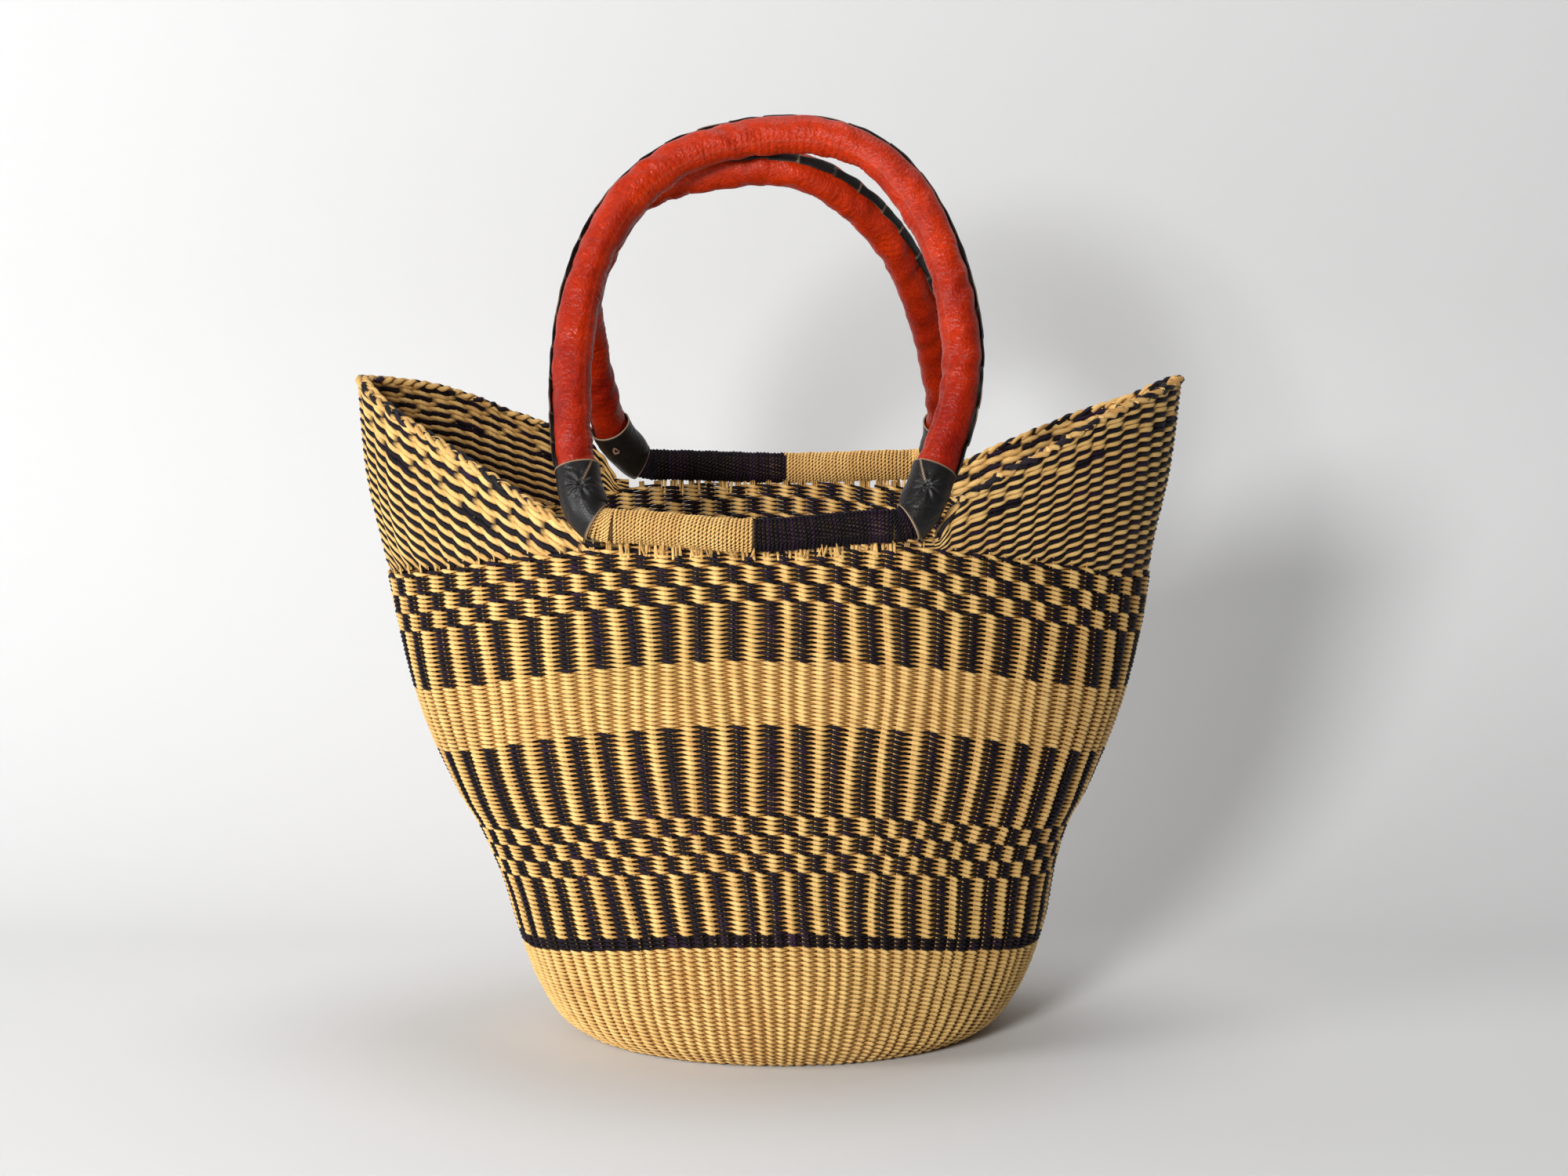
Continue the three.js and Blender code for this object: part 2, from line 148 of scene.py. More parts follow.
def turn_at(stake, height):
    """Turn round Z of a stake number, which may be between two stakes, at a height."""
    round_trip = np.floor(stake / STAKES)
    across = (stake / STAKES - round_trip) * (EVEN.shape[1] - 1)
    up = np.clip(height / TIP_HEIGHT, 0, 1) * (len(LEVELS) - 1)
    i = np.clip(across.astype(int), 0, EVEN.shape[1] - 2)
    j = np.clip(up.astype(int), 0, len(LEVELS) - 2)
    a, b = across - i, up - j
    low = EVEN[j, i] * (1 - a) + EVEN[j, i + 1] * a
    high = EVEN[j + 1, i] * (1 - a) + EVEN[j + 1, i + 1] * a
    return low * (1 - b) + high * b + round_trip * 2 * np.pi


rng = np.random.default_rng(11)
WAVES = [(k, rng.uniform(0, 2 * np.pi), rng.uniform(-.09, .09)) for k in (3, 5, 8, 13, 21, 34)]


def unevenness(stake, height):
    """Slow hand-made wander from -1 to 1, the same for neighbouring rows."""
    total = 0
    for k, phase, climb in WAVES:
        total = total + np.sin(2 * np.pi * k * stake / STAKES + phase + climb * height)
    return total / len(WAVES) * 1.6


print("stake pitch at mid height", round(float(
    np.linalg.norm(wall(turn_at(np.array(20.), 150.), 150., 0.)
                   - wall(turn_at(np.array(21.), 150.), 150., 0.))), 2), "mm")

# %% [markdown]
# ## Turning strands into meshes
# Every strand is a thin tube. A tube arrives as rings of points, and each ring carries how
# dark it is dyed and how light or ochre that stitch is. One builder joins many tubes into
# one mesh, with closed ends, and writes two maps: one lays every tube out in its own strip,
# and one runs along and round the strand in millimetres for the fibre pattern. A third mark
# is painted shade: it is high where a strand lies deep between its neighbours, in shadow.

# %% Mesh builder
def tube(rings, looped=False, dye=0.0, tint=0.5, hollow_shade=0.0):
    """Rings of points, with marks given once, for every ring, or for every point."""
    made = {"rings": np.asarray(rings, float), "looped": looped}
    for key, value in (("dye", dye), ("tint", tint), ("hollow_shade", hollow_shade)):
        value = np.asarray(value, float)
        value = value[:, None] if value.ndim == 1 else value
        made[key] = np.broadcast_to(value, made["rings"].shape[:2])
    return made


def strands_mesh(name, tubes, columns=1):
    """One mesh of many tubes, in metres."""
    verts, starts, corners, strip, strand = [], [], [], [], []
    marks = {"dye": [], "tint": [], "hollow_shade": []}
    base, loop_count = 0, 0
    tiers = math.ceil(len(tubes) / columns)
    for number, piece in enumerate(tubes):
        rings = piece["rings"]
        n, m = rings.shape[:2]
        verts.append(rings.reshape(-1, 3))
        for key in marks:
            marks[key].append(piece[key].ravel())
        runs = n if piece["looped"] else n - 1
        i, j = np.meshgrid(np.arange(runs), np.arange(m), indexing="ij")
        i, j = i.ravel(), j.ravel()
        ii, jj = (i + 1) % n, (j + 1) % m
        quads = np.stack([i * m + j, ii * m + j, ii * m + jj, i * m + jj], 1) + base
        corners.append(quads.ravel())
        starts.append(loop_count + 4 * np.arange(len(quads)))
        loop_count += 4 * len(quads)
        centre = rings.mean(1)
        step = np.linalg.norm(np.diff(centre, axis=0), axis=1)
        far = np.concatenate([[0], np.cumsum(step), [step.sum() + step.mean()]])
        girth = np.linalg.norm(rings[:, 0] - rings[:, 1], axis=1).mean() * m
        u = np.stack([i, i + 1, i + 1, i], 1)
        v = np.stack([j, j, j + 1, j + 1], 1)
        column, tier = number % columns, number // columns
        su = (column + .02 + .96 * u / runs) / columns
        sv = (tier + .06 + .88 * v / m) / tiers
        strip.append(np.stack([su, sv], -1).reshape(-1, 2))
        strand.append(np.stack([far[u], v / m * girth], -1).reshape(-1, 2))
        if not piece["looped"]:
            for ring, order in ((0, 1), (n - 1, -1)):
                face = (np.arange(m) + ring * m + base)[::order]
                corners.append(face[::-1])
                starts.append(np.array([loop_count]))
                loop_count += m
                edge = .02 + .96 * (ring > 0)
                turn = np.arange(m) / m * 2 * np.pi * order
                su = (column + edge + .008 * np.cos(turn)) / columns
                sv = (tier + .5 + .3 * np.sin(turn)) / tiers
                strip.append(np.stack([su, sv], 1))
                strand.append(np.full((m, 2), far[ring]))
        base += n * m
    me = bpy.data.meshes.new(name)
    points = np.concatenate(verts) * MM
    me.vertices.add(len(points))
    me.vertices.foreach_set("co", points.astype(np.float32).ravel())
    order = np.concatenate(corners).astype(np.int32)
    me.loops.add(len(order))
    me.loops.foreach_set("vertex_index", order)
    first = np.concatenate(starts).astype(np.int32)
    me.polygons.add(len(first))
    me.polygons.foreach_set("loop_start", first)
    for map_name, places in (("OFBake", strip), ("Strand", strand)):
        layer = me.uv_layers.new(name=map_name)
        layer.uv.foreach_set("vector", np.concatenate(places).astype(np.float32).ravel())
    for key, parts in marks.items():
        mark = me.attributes.new(key, "FLOAT", "POINT")
        mark.data.foreach_set("value", np.concatenate(parts).astype(np.float32))
    me.update(calc_edges=True)
    me.validate()
    me.polygons.foreach_set("use_smooth", np.ones(len(me.polygons), bool))
    made = bpy.data.objects.new(name, me)
    bpy.context.scene.collection.objects.link(made)
    print(name, len(me.polygons), "faces")
    return made


# %% [markdown]
# ## One twined row
# Two strands run side by side and trade places between every two stakes. Seen from outside
# a stake shows one strand, which is widest in the middle and thin where it dives behind.
# So each strand follows a cosine in and out of the wall and a sine up and down, half a turn
# apart from its partner. Its section is laid out in wall coordinates, so it hugs the wall.

# %% Twined rows
SECTION = np.arange(6) / 6 * 2 * np.pi
RUN_OUT = 1.0         # stakes over which a strand thins out where its row ends
THICK = 0.88          # half the thickness of a strand
MID = 2.45            # the row runs this deep in the wall
FLOOR_CLEARANCE = 0.2 # the lowest strands are pressed flat this far above the floor
# swing: how far a strand moves in and out of the wall; climb: how far it moves up and down
# as it crosses its partner; waist, belly: its height where it dives and what its middle
# adds, as shares of the row; the last value: how dark the painted shade in its hollows is
BODY_TWIST = {"swing": 1.45, "climb": .6, "waist": .44, "belly": .66, "shade_strength": 1.0}
WING_TWIST = {"swing": 1.0, "climb": .6, "waist": .8, "belly": .28, "shade_strength": .6}


def hollow_shade_of(deep):
    """How deep a point lies in the weave, as its share of painted shade: 0 on either face of the
    wall, 1 in its middle.
    """
    return np.clip(1.22 - 1.25 * np.abs(deep - MID) / (BODY_TWIST["swing"] + THICK), 0, 1)


def twined_row(height_of, pitch, first, last, dyes, shift=0, looped=True, seed=0,
               twist=BODY_TWIST):
    """Both strands of one row between two stake numbers; dyes is a pair, or a function."""
    row_rng = np.random.default_rng(seed)
    count = int(round((last - first) * PER_STAKE)) + (0 if looped else 1)
    stake = first + np.arange(count) / PER_STAKE
    height = height_of(turn_at(stake, np.full(count, 200.0)))
    for _ in range(2):
        turn = turn_at(stake, height)
        height = height_of(turn)
    wander = unevenness(stake, height)
    turn = turn_at(stake + STRAY * unevenness(stake, height + 500), height)
    height = height + .55 * wander
    pitch = pitch(turn) if callable(pitch) else pitch
    whole = 1 if looped else np.clip(np.minimum(stake - first, last - stake) / RUN_OUT, 0, 1)
    made = []
    stitch = np.floor(stake + .5).astype(int)
    for strand in (0, 1):
        phase = np.pi * (stake + strand + shift)
        front = np.cos(phase)
        lot = row_rng.uniform(0, 1, STAKES * 2 + 2)
        fat = 1 + .16 * (lot[stitch % (STAKES * 2)] - .5)
        tint = .55 * lot[(stitch + 31) % (STAKES * 2)] + .45 * (wander + 1) / 2
        shape = twist["waist"] + twist["belly"] * front ** 2
        half = pitch / 2 * shape * fat * (.5 + .5 * whole)
        thick = THICK * (.84 + .22 * front ** 2) * (.5 + .5 * whole)
        deep = MID - twist["swing"] * front * whole - .14 * (lot[stitch % (STAKES * 2)] - .5)
        up = height - twist["climb"] * np.sin(phase)
        low = up[:, None] + half[:, None] * np.sin(SECTION)
        inset = deep[:, None] - thick[:, None] * np.cos(SECTION)
        rings = wall(turn[:, None], np.maximum(low, FLOOR_CLEARANCE), inset)
        dye = dyes(stitch, strand, front) if callable(dyes) else dyes[strand]
        # Painted shade: the deeper a point lies in the wall, the darker its colour is made.
        made.append(tube(rings, looped, dye, tint, twist["shade_strength"] * hollow_shade_of(inset)))
    return made


# %% [markdown]
# ## The bands of the body
# From the floor up: plain straw, one dark line, upright stripes, a stepped band, stripes
# again, plain straw, stripes, and steps that run up under the rolls. A stripe appears
# because each row has one light and one dark strand, and they trade places at every stake.
# A step is the same row started one stake later.

# %% Body bands
UNDER_ROLL = 268.2    # rows stop here at the front and back, where the rolls lie
FOOT_LIFT = 1.2       # the lowest row turns over the edge of the base this high
BANDS = [
    # name, lower line, upper line, rows, rows per step (0 for none), dyes
    ("lower_straw_rows", "foot", "line_start", 27, 0, (0, 0), "straw_grass"),
    ("dark_line_rows", "line_start", "line_end", 3, 0, (1, 1), "purple_grass"),
    ("lower_stripe_rows", "line_end", "lower_steps", 13, 0, (0, 1), "mixed_grass"),
    ("lower_step_rows", "lower_steps", "middle_stripes", 16, 4, (0, 1), "mixed_grass"),
    ("middle_stripe_rows", "middle_stripes", "straw", 15, 0, (0, 1), "mixed_grass"),
    ("middle_straw_rows", "straw", "upper_stripes", 15, 0, (0, 0), "straw_grass"),
    ("upper_stripe_rows", "upper_stripes", "upper_steps", 13, 0, (0, 1), "mixed_grass"),
    ("upper_step_rows", "upper_steps", "wings", 13, 4, (0, 1), "mixed_grass"),
]
pieces = {}
seed = 100


def split_under_roll(height_of):
    """Stake runs of a row that rises into the rolls: only the parts below them are woven."""
    stake = np.arange(STAKES * PER_STAKE) / PER_STAKE
    height = height_of(turn_at(stake, np.full(len(stake), 260.0)))
    keep = height < UNDER_ROLL
    if keep.all():
        return [(0.0, float(STAKES), True)]
    starts = [i for i in range(len(keep)) if keep[i] and not keep[i - 1]]
    runs = []
    for start in starts:
        end = start
        while keep[(end + 1) % len(keep)]:
            end += 1
        runs.append((start / PER_STAKE, end / PER_STAKE, False))
    return runs


for name, low, high, rows, step, dyes, slot in BANDS:
    tubes = []
    for row in range(rows):
        part = (row + .5) / rows

        def height_of(turn, part=part, low=low, high=high):
            bottom, top = line_height(low, turn), line_height(high, turn)
            bottom = bottom + (FOOT_LIFT if low == "foot" else 0)
            return bottom + part * (top - bottom)

        face = (LINES[high][1] - LINES[low][1]) * BODY_HEIGHT / rows
        fold = (LINES[high][0] - LINES[low][0]) * BODY_HEIGHT / rows
        shift = (row // step) % 2 if step else 0
        seed += 1
        for first, last, looped in split_under_roll(height_of):
            tubes += twined_row(height_of, .35 * fold + .65 * face, first, last, dyes,
                                shift + (1 if step else 0), looped, seed)
    if name == "lower_straw_rows":
        cut = len(tubes) // 2
        pieces[name] = strands_mesh(name, tubes[:cut])
        pieces["lower_straw_rows_upper"] = strands_mesh("lower_straw_rows_upper", tubes[cut:])
    else:
        pieces[name] = strands_mesh(name, tubes)

# %% [markdown]
# ## The wings
# At both ends the weaver goes on with rows that follow the rim, nested over the fold like
# chevrons, and lets each one run out on the line where the body ends. A whole light row
# follows a whole dark row; near the rim the two are mixed in blocks.

# %% Wing rows
WING_ROWS = 40
WING_PITCH = 2.6      # height of a row at the fold
LOW_FAN = 1.3         # rows open out by this much away from the fold, on the low side
HIGH_FAN = -0.35      # and close up a little on the high side
FAN_REACH = 42.0      # most of it within this distance
MIXED_ROWS = 7
RIM_CORD = 3.0        # the rows start this far under the rim
STRAIGHT_FROM = 10    # rows from this one down run straight on beside the cuff
DROP_FROM = .513      # where the rim's steep drop beside the cuff begins
RIM_SLOPE = 1.19      # slope of the high rim above that place
BEHIND_CUFF = 0.05    # the rows end this much further round, hidden by the cuffs
HIGH_START, LOW_START = math.acos(HIGH_RIM[0][0]), math.acos(LOW_RIM[0][0])


def wing_pitch(turn):
    """Height of a wing row, which changes away from the fold."""
    from_fold = TIP_SPAN / 2 * (1 - np.abs(np.cos(turn)))
    fan = np.where(np.sin(turn) * np.cos(turn) < 0, HIGH_FAN, LOW_FAN)
    return WING_PITCH + fan * (1 - np.exp(-from_fold / FAN_REACH))


def wing_height(row):
    """Rows follow the rim, but lower rows leave out its steep drop beside the cuff."""
    share = min(row / STRAIGHT_FROM, 1)

    def height_of(turn):
        out = np.abs(np.cos(turn))
        straight = BODY_HEIGHT + (1 - RIM_SLOPE * (1 - out)) * (TIP_HEIGHT - BODY_HEIGHT)
        steep = (np.sin(turn) * np.cos(turn) < 0) & (out < DROP_FROM)
        rim = rim_height(turn)
        rim = np.where(steep, rim + share * (straight - rim), rim)
        return rim - RIM_CORD - (row + .5) * wing_pitch(turn)
    return height_of


def block_dyes(row):
    """Blocks of two dark stitches in five, moved on by two from row to row."""
    def dyes(stitch, strand, front):
        return (((stitch + 2 * row) % 5) < 2).astype(float)
    return dyes


for side, middle in (("right", 0), ("left", STAKES // 2)):
    centre_turn = 0 if side == "right" else np.pi
    tubes = []
    scan = middle + np.arange(-30 * PER_STAKE, 30 * PER_STAKE + 1) / PER_STAKE
    for row in range(WING_ROWS):
        turn = turn_at(scan, np.full(len(scan), 290.0))
        floor = np.minimum(line_height("wings", turn), BODY_HEIGHT + 1) - 1.2 * WING_PITCH
        inside = ((turn - centre_turn > -HIGH_START - BEHIND_CUFF)
                  & (turn - centre_turn < LOW_START + BEHIND_CUFF)
                  & (wing_height(row)(turn) > floor))
        run = scan[inside]
        if len(run) < 2 * PER_STAKE:
            continue
        dyes = block_dyes(row) if row < MIXED_ROWS else (row % 2, row % 2)
        seed += 1
        tubes += twined_row(wing_height(row), wing_pitch, run[0], run[-1], dyes, row % 2,
                            False, seed, WING_TWIST)
    name = side + "_wing_rows"
    pieces[name] = strands_mesh(name, tubes)

# %% [markdown]
# ## The knotted border of the wings
# Along each rim the stake ends are bent over and plaited into a small cord. A three-strand
# plait is a figure of eight drawn out along a line, so three tubes with the same wave, a
# third of a turn apart, make it. At every stake a short end also crosses over the top, which
# gives the rim its row of small bumps.

# %% Wing borders
PLAIT_STAKES = 2.0    # one full turn of the plait, in stakes
PLAIT_DROP = 2.1      # its middle lies this far under the rim
PLAIT_SWING = 1.7     # its strands move this far in and out of the wall
PLAIT_HALF = 1.4      # half the height of a strand
LIGHT_KNOTS = 0.6     # share of the knots that stay light


def plait(name, first, last, seed):
    """The plaited rim of one wing between two stake numbers."""
    lot = np.random.default_rng(seed)
    count = int((last - first) * 8)
    stake = np.linspace(first, last, count)
    height = np.full(count, 300.0)
    for _ in range(3):
        turn = turn_at(stake, height)
        height = rim_height(turn) - PLAIT_DROP
    tubes = []
    for strand in range(3):
        phase = 2 * np.pi * (stake / PLAIT_STAKES + strand / 3)
        deep = MID - PLAIT_SWING * np.sin(phase)
        up = height + .95 * np.sin(2 * phase) + .4 * unevenness(stake * 3, height)
        half = PLAIT_HALF + .2 * np.cos(phase)
        rings = wall(turn[:, None], up[:, None] + half[:, None] * np.sin(SECTION),
                     deep[:, None] - 1.05 * np.cos(SECTION))
        knots = lot.uniform(0, 1, 200)
        spot = np.floor(stake / PLAIT_STAKES * 2 + strand / 3).astype(int) % 200
        dye = (knots[spot] > LIGHT_KNOTS).astype(float)
        # Painted shade: a strand is darker where it crosses in the middle of the wall, and on its
        # upper and lower sides, where its neighbours press on it.
        hollow_shade = .2 + .3 * np.cos(phase)[:, None] ** 2 + .3 * np.abs(np.sin(SECTION))
        tubes.append(tube(rings, False, dye, knots[(spot + 17) % 200], hollow_shade))
    for number in np.arange(math.ceil(first + 1), last - 1):
        part = np.linspace(-1, 1, 9)
        at = number + .16 * lot.uniform(-1, 1) + .2 * part
        turn = turn_at(at, np.full(9, 300.0))
        up = rim_height(turn) - .8 - 1.3 * part ** 2 + lot.uniform(-.3, .4)
        deep = MID + PLAIT_SWING * part
        size = (1.15 + .2 * lot.uniform()) * (1 - .35 * part ** 4)
        rings = wall(turn[:, None] + size[:, None] * np.sin(SECTION) / 120, up[:, None],
                     deep[:, None] - .75 * size[:, None] * np.cos(SECTION))
        # The crossing ends get a little painted shade all over.
        tubes.append(tube(rings, False, float(lot.uniform() > .75), lot.uniform(), .25))
    return strands_mesh(name, tubes)


def stake_of(turn_wanted, height):
    """The stake number, which may be between two stakes, at a turn round Z."""
    scan = np.linspace(-STAKES / 2, STAKES * 1.5, 4001)
    return float(np.interp(turn_wanted, turn_at(scan, np.full(len(scan), height)), scan))


for side, centre_turn in (("right", 0.0), ("left", np.pi)):
    name = side + "_wing_border_plait"
    ends = [stake_of(centre_turn - HIGH_START, 275.0), stake_of(centre_turn + LOW_START, 275.0)]
    pieces[name] = plait(name, ends[0], ends[1], 7 if side == "right" else 8)

# %% [markdown]
# ## The stakes
# The uprights stand in the middle of the wall from the base to the rim, three straws to a
# stake. They show as small light specks between dark strands.

# %% Stakes
STRAW_HALF = 0.5      # half the thickness of the thinnest straw
STRAW_APART = 1.05    # from one straw to the next

def stake_rods():
    """Every stake of the wall, three straws side by side."""
    tubes = []
    lot = np.random.default_rng(21)
    for number in range(STAKES):
        up_turn = turn_at(np.array(float(number)), np.array(280.0))
        under_roll = abs(math.cos(float(up_turn))) < LOW_RIM[0][0]
        top = BODY_HEIGHT + 5 if under_roll else float(rim_height(up_turn))
        height = np.linspace(1.5, top - 2.5, 48)
        stray = STRAY * unevenness(np.full(48, float(number)), height + 500)
        turn = turn_at(number + stray, height)
        base = wall(turn, height, MID)
        along = np.gradient(base, axis=0)
        along /= np.linalg.norm(along, axis=1)[:, None]
        out = wall(turn, height, MID - 1) - base
        out /= np.linalg.norm(out, axis=1)[:, None]
        across = np.cross(along, out)
        ring = np.arange(4) / 4 * 2 * np.pi
        for straw in (-1, 0, 1):
            middle = base + straw * (STRAW_APART + .1 * lot.uniform()) * across
            size = STRAW_HALF + .08 * lot.uniform()
            rings = (middle[:, None] + size * np.cos(ring)[None, :, None] * across[:, None]
                     + size * np.sin(ring)[None, :, None] * out[:, None])
            # Painted shade: every stake is made a little darker, as it stands deep between the
            # strands.
            tubes.append(tube(rings, False, 0.0, lot.uniform(), .2))
    return strands_mesh("stakes", tubes, columns=8)


pieces["stakes"] = stake_rods()

# %% [markdown]
# ## The base
# The bottom is the start of the same weave: rings of twining round radial stakes.

# %% Base rows
BASE_RINGS = 27
BASE_MIDDLE = 2.5     # height of the middle of the base weave
BASE_SWING = 1.25     # its strands move this far up and down
BASE_HALF = 0.85      # half the thickness of a strand


def base_rows():
    """Rings of twining that shrink from the foot of the wall to the middle."""
    tubes = []
    lot = np.random.default_rng(31)
    centre = np.array([LEAN_PROFILE[0][1], 0.0, 0.0])
    for ring_number in range(BASE_RINGS):
        part = (ring_number + .7) / (BASE_RINGS + .3)
        stakes = max(8, 2 * int(round(STAKES * part / 2)))
        stake = np.arange(stakes * PER_STAKE) / PER_STAKE
        turn = 2 * np.pi * stake / stakes
        edge = wall(turn, np.zeros_like(turn), 0.0) - centre
        away = edge[:, :2] / np.linalg.norm(edge[:, :2], axis=1)[:, None]
        pitch = np.linalg.norm(edge, axis=1) / BASE_RINGS
        for strand in (0, 1):
            phase = np.pi * (stake + strand)
            front = np.cos(phase)
            half = pitch / 2 * (.62 + .42 * front ** 2)
            level = BASE_MIDDLE + BASE_SWING * front
            shift = .5 * np.sin(phase)
            reach = half[:, None] * np.cos(SECTION) + shift[:, None]
            flat = centre[:2] + edge[:, None, :2] * part + away[:, None] * reach[..., None]
            up = level[:, None] + BASE_HALF * np.sin(SECTION)
            rings = np.concatenate([flat, up[..., None]], axis=2)
            tint = lot.uniform(0, 1, stakes)[np.floor(stake).astype(int)]
            tubes.append(tube(rings, True, 0.0, tint))
    return strands_mesh("base_rows", tubes)


pieces["base_rows"] = base_rows()

# %% [markdown]
# ## Rods and cords round a curved line
# The rolls and the handles follow centrelines. A helper gives, at any place on such a line,
# its direction and two directions across it, and another lays tubes round the line.

# %% Centreline helpers
ROLL = {"diameter": 17.0, "core": 14.4, "height": 279.0, "sag": 3.0, "bulge": 10.0,
        "depth": MOUTH_DEPTH / 2 - 7.5, "split": -8.0}
SHAPES = {"front": {"rise": 208.5, "half_span": 96.5, "lean": 28.0, "left": -76.0,
                    "right": 60.0, "turns": (84, 67)},
          "back": {"rise": 200.0, "half_span": 97.0, "lean": 33.7, "left": -78.0,
                   "right": 63.0, "turns": (86, 62)}}
ARCHES = {
    "front": [[-.964, .129], [-1, .288], [-.995, .456], [-.943, .614], [-.839, .748],
              [-.684, .854], [-.456, .94], [-.145, .988], [.104, 1], [.332, .988], [.549, .94],
              [.705, .863], [.829, .758], [.922, .633], [.974, .494], [.974, .384],
              [.943, .288], [.891, .211], [.829, .129]],
    "back": [[-.96, .147], [-.941, .258], [-.899, .393], [-.837, .525], [-.746, .655],
             [-.616, .785], [-.472, .88], [-.28, .96], [-.075, .998], [.138, 1], [.376, .98],
             [.549, .955], [.718, .898], [.86, .792], [.946, .682], [1, .552], [.989, .446],
             [.962, .339], [.933, .258], [.889, .138]]}
ELBOW = 14.0


def half_turn(side, points):
    """The back half is the front half turned by 180 degrees about Z."""
    return points * (np.array([1.0, 1, 1]) if side == "front" else np.array([-1.0, -1, 1]))


def frames(line):
    """Directions along and across a line of points that lies near an X-Z plane."""
    along = np.gradient(line, axis=0)
    along /= np.linalg.norm(along, axis=1)[:, None]
    outer = np.cross(along, np.array([0.0, 1.0, 0.0]))
    outer /= np.linalg.norm(outer, axis=1)[:, None]
    return along, outer, np.cross(outer, along)


def catmull(knots, count=1400):
    """The smooth curve through the knots, as evenly spaced points."""
    p = np.array(knots, float)
    p = np.vstack([2 * p[0] - p[1], p, 2 * p[-1] - p[-2]])
    out = []
    for i in range(1, len(p) - 2):
        p0, p1, p2, p3 = p[i - 1:i + 3]
        d0, d1, d2 = (np.linalg.norm(b - a) ** .5 for a, b in ((p0, p1), (p1, p2), (p2, p3)))
        t1 = ((p1 - p0) / d0 - (p2 - p0) / (d0 + d1) + (p2 - p1) / d1) * d1
        t2 = ((p2 - p1) / d1 - (p3 - p1) / (d1 + d2) + (p3 - p2) / d2) * d1
        t = np.linspace(0, 1, 60, endpoint=False)[:, None]
        c2, c3 = -3 * p1 + 3 * p2 - 2 * t1 - t2, 2 * p1 - 2 * p2 + t1 + t2
        out.append(p1 + t1 * t + c2 * t * t + c3 * t ** 3)
    out.append(p[-2:-1])
    fine = np.vstack(out)
    far = np.concatenate([[0], np.cumsum(np.linalg.norm(np.diff(fine, axis=0), axis=1))])
    even = np.linspace(0, far[-1], count)
    return np.stack([np.interp(even, far, fine[:, k]) for k in range(3)], 1), even


def arch_line(side):
    """The centreline of one arch in its own plane, and the length along it."""
    shape = SHAPES[side]
    left, right = (math.radians(angle) for angle in shape["turns"])

    def elbow(x, way, turn):
        return [[x + way * ELBOW * math.sin(part / 3 * turn), 0,
                 ELBOW * (1 - math.cos(part / 3 * turn))] for part in range(4)]

    bow = [[x * shape["half_span"], 0, z * shape["rise"]] for x, z in ARCHES[side]]
    return catmull(elbow(shape["left"], -1, left) + bow + elbow(shape["right"], 1, right)[::-1])


def stand_arch(side, points):
    """From the arch's own plane to the basket: leaned, moved to the roll, turned to its side."""
    lean = math.radians(SHAPES[side]["lean"])
    x, y, z = np.moveaxis(points, -1, 0)
    made = np.stack([x, y * math.cos(lean) + z * math.sin(lean) - ROLL["depth"],
                     -y * math.sin(lean) + z * math.cos(lean) + ROLL["height"]], -1)
    return half_turn(side, made)


def along_line(far, values, place):
    """Values given along a line, read at other places on it."""
    return np.stack([np.interp(place, far, values[:, k]) for k in range(3)], -1)


def around_line(centre, radius, angle, outer, across):
    """Points round a line: an array of radii for every place and angle."""
    return (centre[:, None] + radius[..., None] * (np.cos(angle)[..., None] * outer[:, None]
            + np.sin(angle)[..., None] * across[:, None]))


def short_way(angle):
    """An angle as its nearest equal between minus and plus half a turn."""
    return (angle + np.pi) % (2 * np.pi) - np.pi


def roll_line(side, x):
    """The centreline of a roll, which sags and bulges outward in its middle."""
    shape = SHAPES[side]
    way = np.clip((x - shape["left"]) / (shape["right"] - shape["left"]), 0, 1)
    swell = np.sin(np.pi * way) ** 2
    return np.stack([x, -ROLL["depth"] - ROLL["bulge"] * swell,
                     ROLL["height"] - ROLL["sag"] * swell], -1)


# %% [markdown]
# ## Wound cord
# The rolls are bundles of stakes wrapped with thin two-ply cord, turn beside turn. Each ply
# circles the cord while the cord circles the roll, which gives the slanted, knit-like look.

# %% Cord winding
CORD_PITCH = 1.9      # one turn of cord along the roll
ROOT_PITCH = 1.3      # closer turns round the bend, where the outer side opens them
PLY_TWIST = 4.6       # length of cord for one twist of its plies
PLY = .56             # half the thickness of one ply
RINGS_PER_TWIST = 6


def wound_cord(line, radius, seed, dye, pitch=CORD_PITCH):
    """Two plies of cord wound round a line of points."""
    lot = np.random.default_rng(seed)
    far = np.concatenate([[0], np.cumsum(np.linalg.norm(np.diff(line, axis=0), axis=1))])
    turns = far[-1] / pitch
    girth = 2 * np.pi * radius
    place = np.linspace(0, far[-1], int(turns * girth / PLY_TWIST * RINGS_PER_TWIST))
    centre = along_line(far, line, place)
    along, outer, side = (along_line(far, values, place) for values in frames(line))
    angle = place / pitch * 2 * np.pi
    wobble = .16 * np.sin(angle * .137 + seed) + .12 * np.sin(angle * .411)
    outward = outer * np.cos(angle)[:, None] + side * np.sin(angle)[:, None]
    cord = centre + outward * (radius - 2 * PLY + wobble)[:, None]
    twist = place / pitch * girth / PLY_TWIST * 2 * np.pi
    knots = lot.uniform(0, 1, int(turns) + 2)
    tint = np.interp(place / pitch, np.arange(len(knots)), knots)
    spots = np.arange(5) / 5 * 2 * np.pi
    tubes = []
    for ply in (0, 1):
        phase = twist + ply * np.pi
        middle = cord + PLY * (outward * np.cos(phase)[:, None] + along * np.sin(phase)[:, None])
        rings = np.stack([middle + PLY * (.95 * outward * np.cos(spot) + along * np.sin(spot))
                          for spot in spots], 1)
        # Painted shade: a ply is darker where it turns inward under its partner, and on the side of
        # its section that faces the roll.
        hollow_shade = np.clip(1.0 - .6 * np.cos(phase)[:, None] - .6 * np.cos(spots), 0, 1)
        tubes.append(tube(rings, False, dye, tint, hollow_shade))
    return tubes


